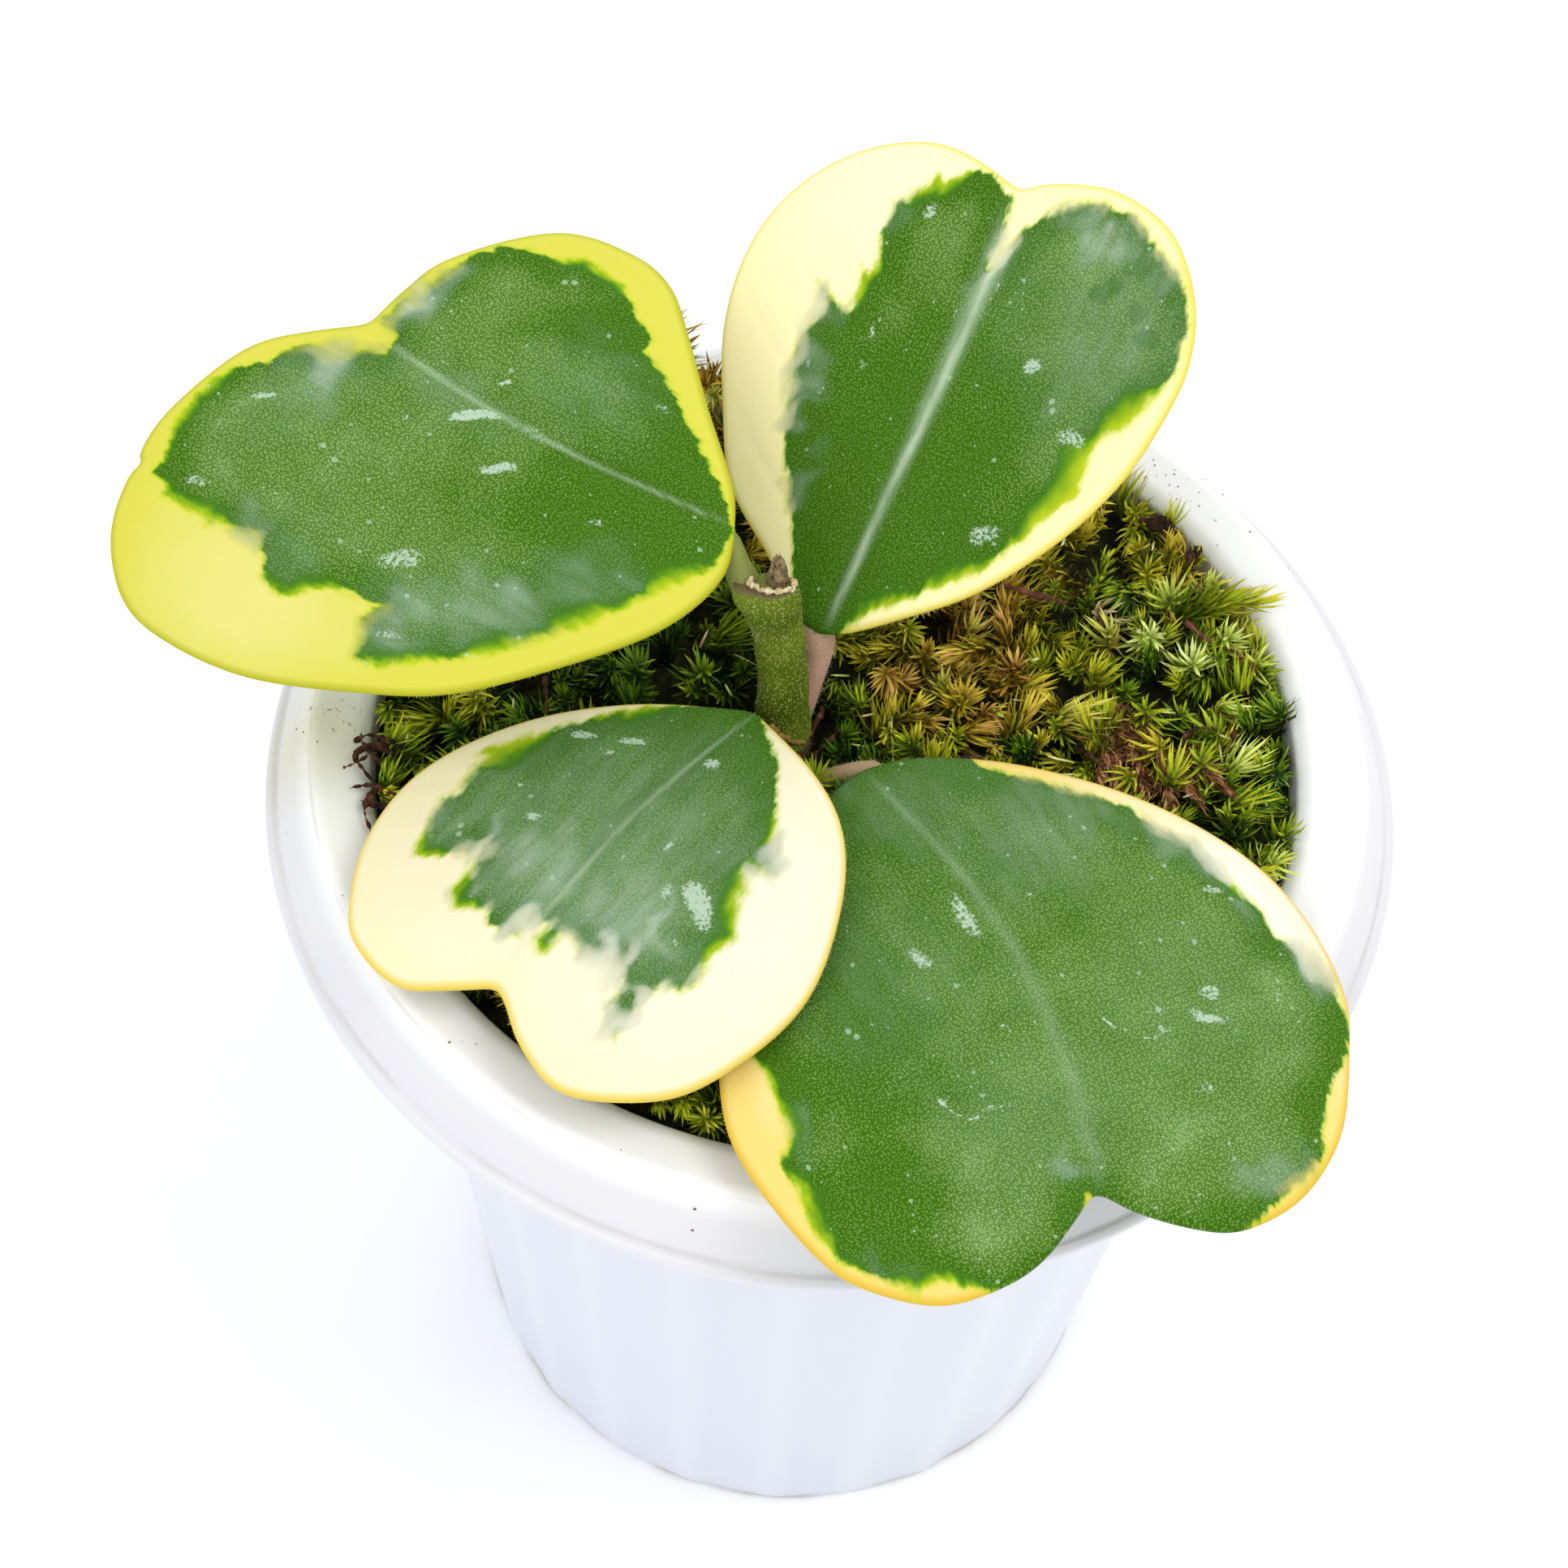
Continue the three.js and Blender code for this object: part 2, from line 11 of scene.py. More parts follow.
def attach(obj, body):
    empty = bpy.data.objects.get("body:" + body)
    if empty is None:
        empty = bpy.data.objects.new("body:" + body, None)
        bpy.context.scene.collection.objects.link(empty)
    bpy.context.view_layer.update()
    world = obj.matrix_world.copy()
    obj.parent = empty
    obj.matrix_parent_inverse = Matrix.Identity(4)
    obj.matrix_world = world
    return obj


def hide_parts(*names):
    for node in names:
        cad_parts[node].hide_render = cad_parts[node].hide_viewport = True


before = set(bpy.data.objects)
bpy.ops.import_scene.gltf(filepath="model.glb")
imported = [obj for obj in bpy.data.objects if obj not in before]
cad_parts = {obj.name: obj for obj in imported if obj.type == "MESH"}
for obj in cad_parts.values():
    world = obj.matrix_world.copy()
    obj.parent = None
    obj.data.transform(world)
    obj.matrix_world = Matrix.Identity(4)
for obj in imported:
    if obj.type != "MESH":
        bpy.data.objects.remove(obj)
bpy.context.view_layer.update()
mm = 0.001
goldenTurn = 2.39996  # radians from one leaflet or scale to the next


# Small tools

def toLinear(hexColour):
    parts = [int(hexColour[i:i + 2], 16) / 255 for i in (1, 3, 5)]
    return [p / 12.92 if p <= 0.04045 else ((p + 0.055) / 1.055) ** 2.4 for p in parts] + [1]


# A value or a link for a node's input; a hex string is a colour
def feed(tree, socket, value):
    if isinstance(value, bpy.types.NodeSocket):
        tree.links.new(value, socket)
    elif value is not None:
        socket.default_value = toLinear(value) if isinstance(value, str) else value


# Adds a node and gives its output; its open inputs are fed in order, and None skips one
def addNode(tree, kind, *inputs, stops=(), output="", **settings):
    node = tree.nodes.new("ShaderNode" + kind)
    if kind == "Mix":
        node.data_type = "RGBA"
    for name, value in settings.items():
        setattr(node, name, value)
    for _ in stops[2:]:  # a new ramp has two stops
        node.color_ramp.elements.new(0.5)
    for index, (place, colour) in enumerate(stops):
        node.color_ramp.elements[index].position = place
        node.color_ramp.elements[index].color = toLinear(colour)
    for socket, value in zip([socket for socket in node.inputs if socket.enabled], inputs):
        feed(tree, socket, value)
    return next(socket for socket in node.outputs if socket.enabled and output in ("", socket.name))


# A new material, and addNode for its own tree
def startMaterial(name):
    material = bpy.data.materials.new(name)
    material.use_nodes = True
    return material, partial(addNode, material.node_tree)


def finishMaterial(material, inputs):
    shader = material.node_tree.nodes["Principled BSDF"]
    for name, value in inputs.items():
        feed(material.node_tree, shader.inputs[name], value)
    return material


def clearSelection():
    if bpy.context.object and bpy.context.object.mode != "OBJECT":
        bpy.ops.object.mode_set(mode="OBJECT")
    bpy.ops.object.select_all(action="DESELECT")


def choose(*pieces):
    clearSelection()
    for piece in pieces:
        piece.select_set(True)
    bpy.context.view_layer.objects.active = pieces[0]


def editPiece(piece):
    choose(piece)
    bpy.ops.object.mode_set(mode="EDIT")
    bpy.ops.mesh.select_mode(type="VERT")
    bpy.ops.mesh.select_all(action="DESELECT")


def selectBoundary():
    bpy.ops.mesh.select_all(action="DESELECT")
    bpy.ops.mesh.select_non_manifold(use_wire=False, use_multi_face=False,
                                     use_non_contiguous=False, use_verts=False)


# Welds what meets, and turns every face outwards
def tidySurface(piece, weld=1e-6):
    editPiece(piece)
    bpy.ops.mesh.select_all(action="SELECT")
    bpy.ops.mesh.remove_doubles(threshold=weld)
    bpy.ops.mesh.normals_make_consistent(inside=False)
    bpy.ops.object.mode_set(mode="OBJECT")


def places(piece):
    flat = np.empty(len(piece.data.vertices) * 3)
    piece.data.vertices.foreach_get("co", flat)
    return flat.reshape(-1, 3)


def setPlaces(piece, spots):
    piece.data.vertices.foreach_set("co", np.asarray(spots, np.float32).ravel())
    piece.data.update()


def setAttribute(piece, name, values):
    layer = piece.data.attributes.new(name, "FLOAT", "POINT")
    layer.data.foreach_set("value", np.asarray(values, np.float32))


def setUv(piece, name, perVertex):
    layer = piece.data.uv_layers.new(name=name)
    corners = np.empty(len(piece.data.loops), np.int32)
    piece.data.loops.foreach_get("vertex_index", corners)
    layer.data.foreach_set("uv", np.asarray(perVertex, np.float32)[corners].ravel())


def finishPiece(piece, name, material, nodes=()):
    piece.name = name
    piece.data.name = name
    if material:
        piece.data.materials.clear()
        piece.data.materials.append(material)
    piece.data.shade_smooth()
    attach(piece, "root")
    if nodes:
        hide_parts(*nodes)


def joinPieces(pieces):
    choose(*pieces)
    bpy.ops.object.join()
    return bpy.context.object


# Evenly spaced places on a Catmull-Rom spline through the points
def smoothThrough(points, count):
    known = [np.array(point, float) for point in points]
    known = [known[0], *known, known[-1]]
    fine = []
    for i in range(1, len(known) - 2):
        a, b, c, d = known[i - 1:i + 3]
        for t in np.arange(0, 1, 0.05):
            bend = (2 * a - 5 * b + 4 * c - d) * t * t + (3 * b - a - 3 * c + d) * t ** 3
            fine.append(0.5 * (2 * b + (c - a) * t + bend))
    fine = np.array([*fine, known[-1]])
    steps = np.linalg.norm(np.diff(fine, axis=0), axis=1)
    lengths = np.concatenate([[0], np.cumsum(steps)])
    wanted = np.linspace(0, lengths[-1], count)
    return np.stack([np.interp(wanted, lengths, column) for column in fine.T], 1)


# The value at a place, on straight lines between (place, value) pairs
def between(pairs, place):
    return float(np.interp(place, [pair[0] for pair in pairs], [pair[1] for pair in pairs]))


# A closed round shoot through the points (mm); radiusAt gives its radius along its length
def tubeAlong(points, radiusAt, steps, roundness):
    clearSelection()
    bpy.ops.curve.primitive_bezier_curve_add()
    path = bpy.context.object
    path.data.splines.clear()
    spline = path.data.splines.new("POLY")
    spline.points.add(steps)
    for i, place in enumerate(smoothThrough(points, steps + 1)):
        spline.points[i].co = (*(place * mm), 1)
        spline.points[i].radius = radiusAt(i / steps)
    path.data.dimensions = "3D"
    path.data.bevel_depth = mm
    path.data.bevel_resolution = roundness
    path.data.use_fill_caps = True
    bpy.ops.object.convert(target="MESH")
    tube = bpy.context.object
    tidySurface(tube)
    return tube


# A circle lofted through rings of [radius, height] in mm, closed at both ends
def loftRings(rings, sides):
    clearSelection()
    radius, height = rings[0]
    bpy.ops.mesh.primitive_circle_add(vertices=sides, radius=radius * mm)
    piece = bpy.context.object
    bpy.ops.object.mode_set(mode="EDIT")
    bpy.ops.mesh.select_all(action="SELECT")
    bpy.ops.transform.translate(value=(0, 0, height * mm))
    for nextRadius, nextHeight in rings[1:]:
        rise = {"value": (0, 0, (nextHeight - height) * mm)}
        bpy.ops.mesh.extrude_edges_move(TRANSFORM_OT_translate=rise)
        grow = nextRadius / radius
        bpy.ops.transform.resize(value=(grow, grow, 1), center_override=(0, 0, 0))
        radius, height = nextRadius, nextHeight
    bpy.ops.mesh.merge(type="CENTER")
    selectBoundary()
    bpy.ops.mesh.extrude_edges_move()
    bpy.ops.mesh.merge(type="CENTER")
    tidySurface(piece)
    return piece


# Camera and stage: the photograph's angle, a pale floor and soft light

camera = {
    "place": (-5.10, -204.54, 404.17),
    "forward": (0, 0.5601, -0.8284),
    "up": (-0.0803, 0.8257, 0.5583),
    "lens": 78.26,
}
light = {
    "world": "#F5F7FB",
    "worldStrength": 0.9,
    "key": {"place": (0.45, -0.15, 0.95), "size": 0.5, "power": 2.5, "colour": "#FFFBF4"},
    "fill": {"place": (-0.55, -0.50, 0.90), "size": 0.9, "power": 3.25, "colour": "#F8F9FF"},
    "back": {"place": (0.25, 0.85, 0.80), "size": 0.8, "power": 1.8, "colour": "#FFFFFF"},
}


def makeCamera():
    clearSelection()
    bpy.ops.object.camera_add()
    eye = bpy.context.object
    eye.name = "photoCamera"
    back = -Vector(camera["forward"]).normalized()
    right = Vector(camera["up"]).cross(back).normalized()
    up = back.cross(right)
    turn = Matrix([right, up, back]).transposed().to_4x4()
    eye.matrix_world = Matrix.Translation(Vector(camera["place"]) * mm) @ turn
    eye.data.lens = camera["lens"]
    eye.data.clip_start = 0.01
    bpy.context.scene.camera = eye


def makeStage():
    clearSelection()
    bpy.ops.mesh.primitive_plane_add(size=6)
    floor = bpy.context.object
    floor.name = "floor"
    material, node = startMaterial("matt white card")
    where = node("TexCoord", output="Object")
    mottle = node("TexNoise", where, 9, 3)
    tint = node("ValToRGB", mottle, stops=[(0.3, "#FBFBFD"), (0.7, "#FEFEFF")])
    floor.data.materials.append(finishMaterial(material, {"Base Color": tint, "Roughness": 0.8}))
    for name in ("key", "fill", "back"):
        lamp = light[name]
        bpy.ops.object.light_add(type="AREA", location=lamp["place"])
        area = bpy.context.object
        area.name = name + "Light"
        area.data.shape = "DISK"
        area.data.size = lamp["size"]
        area.data.energy = lamp["power"]
        area.data.color = toLinear(lamp["colour"])[:3]
        towards = Vector((0, 0, 0.11)) - Vector(lamp["place"])
        area.rotation_euler = towards.to_track_quat("-Z", "Y").to_euler()
    world = bpy.data.worlds.new("studio")
    world.use_nodes = True
    sky = world.node_tree.nodes["Background"]
    sky.inputs["Color"].default_value = toLinear(light["world"])
    sky.inputs["Strength"].default_value = light["worldStrength"]
    bpy.context.scene.world = world
    bpy.context.scene.view_settings.view_transform = "Standard"


makeCamera()
makeStage()
print("camera and stage made")


# Pot: injection-moulded white polypropylene, with shallow flutes and a rolled rim

pot = {
    "height": 111.4,
    "footRadius": 39.2,
    "wallTopRadius": 50,
    "lipRadius": 60,
    "crestRadius": 54.4,
    "flangeRadius": 49.6,
    "lipDrop": 7.4,
    "wall": 1.2,
    "floor": 3.5,
    "sides": 240,
    "flutes": 24,
    "fluteDepth": 0.55,
    "drains": 6,
    "drainRadius": 3.5,
    "drainRing": 25,
    "footSlots": (30, 90, 150),
    "slotSize": (12, 5, 2.2),
}


def wallRadius(height):
    return pot["footRadius"] + (pot["wallTopRadius"] - pot["footRadius"]) * height / pot["height"]


# Corners are [radius, height, rounding]; long straight stretches get rings of their own
def roundedProfile(corners, longest=9, steps=4):
    rings = [corners[0][:2]]
    for i in range(1, len(corners) - 1):
        here = Vector(corners[i][:2])
        before = Vector(corners[i - 1][:2]) - here
        after = Vector(corners[i + 1][:2]) - here
        reach = min(corners[i][2], 0.45 * before.length, 0.45 * after.length)
        start = here + before.normalized() * reach
        end = here + after.normalized() * reach
        for k in range(steps + 1):
            t = k / steps
            rings.append(tuple(start * (1 - t) ** 2 + here * 2 * t * (1 - t) + end * t * t))
    rings.append(corners[-1][:2])
    full = [rings[0]]
    for ring in rings[1:]:
        gap = math.dist(full[-1], ring)
        pieces = math.ceil(gap / longest)
        first = full[-1]
        for k in range(1, pieces + 1):
            share = k / pieces
            full.append((first[0] + (ring[0] - first[0]) * share, first[1] + (ring[1] - first[1]) * share))
    return full


def makePotMaterial():
    # white polypropylene, injection moulded: soft bright gloss, milky, with dust and water marks
    material, node = startMaterial("moulded white polypropylene")
    where = node("TexCoord", output="Object")
    spot = node("SeparateXYZ", where).node.outputs
    squareX = node("Math", spot["X"], spot["X"], operation="MULTIPLY")
    squareY = node("Math", spot["Y"], spot["Y"], squareX, operation="MULTIPLY_ADD")
    radius = node("Math", squareY, operation="SQRT")
    # painted light and shade: the white plastic is painted darker and bluer on the wall and lighter at the
    # top of the rim
    height = node("MapRange", spot["Z"], 0.0, 0.112)
    paintedHeightShade = node("ValToRGB", height,
        stops=[(0.0, "#D7DCE4"), (0.86, "#DADEE6"), (0.93, "#DEDDE0"), (0.97, "#E2E1E2"),
            (0.99, "#F6F6F4")])
    # painted highlight: pale bands round the wall, one to each flute, stand in for the sheen the flutes
    # catch
    turn = node("Math", spot["Y"], spot["X"], operation="ARCTAN2")
    flutes = node("Math", turn, pot["flutes"], operation="MULTIPLY")
    wave = node("Math", flutes, operation="COSINE")
    onWall = node("MapRange", spot["Z"], 0.1035, 0.09, 0, 0.11)
    fluteHighlightShare = node("Math", wave, onWall, operation="MULTIPLY", use_clamp=True)
    fluteHighlighted = node("Mix", fluteHighlightShare, paintedHeightShade, "#F4F7FB")
    # an olive tint near the moss and on the left of the flange, where the roots hang over it: partly a
    # faint soil-water stain, partly painted shade tinted green by light thrown back from the moss
    nearMoss = node("MapRange", radius, 0.0505, 0.0485, 0, 0.18)
    toStainAndShade = node("VectorMath", where, (-0.0545, -0.004, 0.109), operation="DISTANCE")
    stainAndShadeSpot = node("MapRange", toStainAndShade, 0.010, 0.002, 0, 0.9)
    cloud = node("TexNoise", where, 90, 4)
    high = node("Math", spot["Z"], 0.1035, operation="GREATER_THAN")
    stainAndShadeArea = node("Math", stainAndShadeSpot, nearMoss, operation="MAXIMUM")
    stainAndShadeCloud = node("Math", stainAndShadeArea, cloud, operation="MULTIPLY")
    stainAndShadeHere = node("Math", stainAndShadeCloud, high, operation="MULTIPLY", use_clamp=True)
    stainedAndShaded = node("Mix", stainAndShadeHere, fluteHighlighted, "#C9C78F")
    # grit: specks of 0.2 to 0.5 mm, thick near the moss and thin elsewhere
    speck = node("TexVoronoi", where, 900, None, None, None, 1)
    chance = node("TexNoise", where, 260, 1)
    small = node("Math", speck, 0.26, operation="LESS_THAN")
    amount = node("Math", stainAndShadeArea, -0.15, 0.8, operation="MULTIPLY_ADD")
    picked = node("Math", chance, amount, operation="GREATER_THAN")
    gritHere = node("Math", small, picked, operation="MULTIPLY")
    gritOnRim = node("Math", gritHere, high, operation="MULTIPLY")
    gritSoft = node("Math", gritOnRim, 0.6, operation="MULTIPLY")
    gritty = node("Mix", gritSoft, stainedAndShaded, "#7A5638")
    # fine dirt has settled in the line along the crest of the rim
    offCrest = node("Math", radius, 0.0549, operation="SUBTRACT")
    crestGap = node("Math", offCrest, operation="ABSOLUTE")
    crestLine = node("MapRange", crestGap, 0.00022, 0.0001, 0, 0.22)
    # and in the groove above the lip. The brownish line along the foot is partly dirt and partly a painted
    # contact shadow
    offGroove = node("Math", radius, 0.0588, operation="SUBTRACT")
    grooveGap = node("Math", offGroove, operation="ABSOLUTE")
    grooveLine = node("MapRange", grooveGap, 0.0003, 0.0001, 0, 0.16)
    rimLines = node("Math", crestLine, grooveLine, operation="MAXIMUM")
    patchy = node("MapRange", cloud, 0.42, 0.62)
    broken = node("Math", rimLines, patchy, operation="MULTIPLY")
    crestHere = node("Math", broken, high, operation="MULTIPLY")
    # painted contact shadow along the foot, partly dirt
    footShadowLine = node("MapRange", spot["Z"], 0.0009, 0.0004, 0, 0.95)
    footShadowHere = node("Math", footShadowLine, patchy, operation="MULTIPLY")
    dirtAndFootShadowHere = node("Math", crestHere, footShadowHere, operation="MAXIMUM")
    linedAndShaded = node("Mix", dirtAndFootShadowHere, gritty, "#93836E")
    # moulded skin: its gloss is duller where it was handled
    sheen = node("MapRange", cloud, 0, 1, 0.27, 0.31)
    return finishMaterial(material, {
        "Base Color": linedAndShaded, "Roughness": sheen, "IOR": 1.49,
        "Subsurface Weight": 0.15, "Subsurface Radius": (1.0, 0.9, 0.8), "Subsurface Scale": 0.002})


def makePot():
    lip = pot["height"] - pot["lipDrop"]
    top = pot["height"]
    crest = pot["crestRadius"]
    outer = pot["lipRadius"]
    inside = lambda height: wallRadius(height) - pot["wall"]
    # from the ring foot up the outside, over the rim, and down the inside to the floor
    corners = [
        (17, 0, 0), (18.5, 1.5, 0.4), (32.2, 1.5, 0.4), (33.2, 0, 0.3), (38.5, 0, 0.3),
        (wallRadius(0.7), 0.7, 0.3), (wallRadius(60), 60, 0), (wallRadius(top - 1.9), top - 1.9, 0.3),
        (crest - 1.2, top - 1.9, 0.4), (crest + 0.2, top - 2.5, 0.4),
        (outer - 1.7, lip - 0.6, 0.4), (outer - 1.4, lip - 1.3, 0.2), (outer - 0.4, lip - 1.3, 0.4),
        (outer, lip - 0.8, 0.5), (outer, lip, 0.5), (outer - 0.6, lip + 0.5, 0.5),
        (outer - 1.1, lip + 0.5, 0.3), (crest + 1.3, top - 1.3, 1.2), (crest + 0.4, top - 0.2, 0.5),
        (crest - 0.4, top, 0.5), (pot["flangeRadius"] + 0.4, top - 0.6, 0.8),
        (inside(top - 1.6), top - 1.6, 0.5), (inside(60), 60, 0),
        (inside(pot["floor"]), pot["floor"], 0.8), (2, pot["floor"], 0),
    ]
    piece = loftRings(roundedProfile(corners), pot["sides"])
    spots = places(piece) / mm
    radius = np.hypot(spots[:, 0], spots[:, 1])
    turn = np.arctan2(spots[:, 1], spots[:, 0])
    height = spots[:, 2]
    wall = np.array([wallRadius(h) for h in height])
    onWall = (np.abs(radius - wall) < 0.1) & (height > 0.1) & (height < top - 1.8)
    flat = np.sqrt(np.sin(0.5 * pot["flutes"] * turn) ** 2 + 0.01)
    fade = np.clip(height / 1.5, 0, 1) * np.clip((top - 1.8 - height) / 3, 0, 1)
    inward = np.where(onWall, pot["fluteDepth"] * flat * fade, 0)
    # the foot's edge was trimmed by hand, so it waves a little
    wave = np.array([noise.noise(Vector((math.cos(a) * 9, math.sin(a) * 9, 3))) for a in turn])
    nearFoot = np.clip(1 - height / 3, 0, 1) * (radius > 37)
    scale = (radius - inward + 0.35 * wave * nearFoot) / np.maximum(radius, 1e-6)
    spots[:, 0] *= scale
    spots[:, 1] *= scale
    setPlaces(piece, spots * mm)
    # drain holes in the floor, and slots through the foot
    cutters = []
    clearSelection()
    for i in range(pot["drains"]):
        turn = math.tau * i / pot["drains"]
        x, y = pot["drainRing"] * math.cos(turn), pot["drainRing"] * math.sin(turn)
        bpy.ops.mesh.primitive_cylinder_add(vertices=32, radius=pot["drainRadius"] * mm, depth=8 * mm,
                                            location=(x * mm, y * mm, 2.5 * mm))
        cutters.append(bpy.context.object)
    reach = (pot["footRadius"] - 1) * mm
    for degrees in pot["footSlots"]:
        turn = math.radians(degrees)
        bpy.ops.mesh.primitive_cube_add(size=mm, scale=pot["slotSize"], rotation=(0, 0, turn),
                                        location=(reach * math.cos(turn), reach * math.sin(turn), 0))
        cutters.append(bpy.context.object)
    cutter = joinPieces(cutters)
    choose(piece)
    holes = piece.modifiers.new("holes", "BOOLEAN")
    holes.object = cutter
    holes.operation = "DIFFERENCE"
    holes.solver = "EXACT"
    bpy.ops.object.modifier_apply(modifier=holes.name)
    bpy.data.objects.remove(cutter)
    finishPiece(piece, "potShell", makePotMaterial(), ["pot"])
    choose(piece)
    bpy.ops.object.shade_smooth_by_angle(angle=math.radians(38))


makePot()
print("pot made")


# Leaves: thick waxy blades, each on a sheet that folds at the midrib and droops

leafLook = {
    "outlinePoints": 360,
    "upperRings": 56,
    "lowerRings": 20,
    "thickness": 2.4,
    "edgeThickness": 1.7,
    "aboveSheet": 0.35,
    "roundEdge": 1.25,
    "ribDepth": 0.3,
    "ripple": 0.22,
    "veinSpacing": 8.5,
    "veinDepth": 0.07,
    "roundings": 6,
}

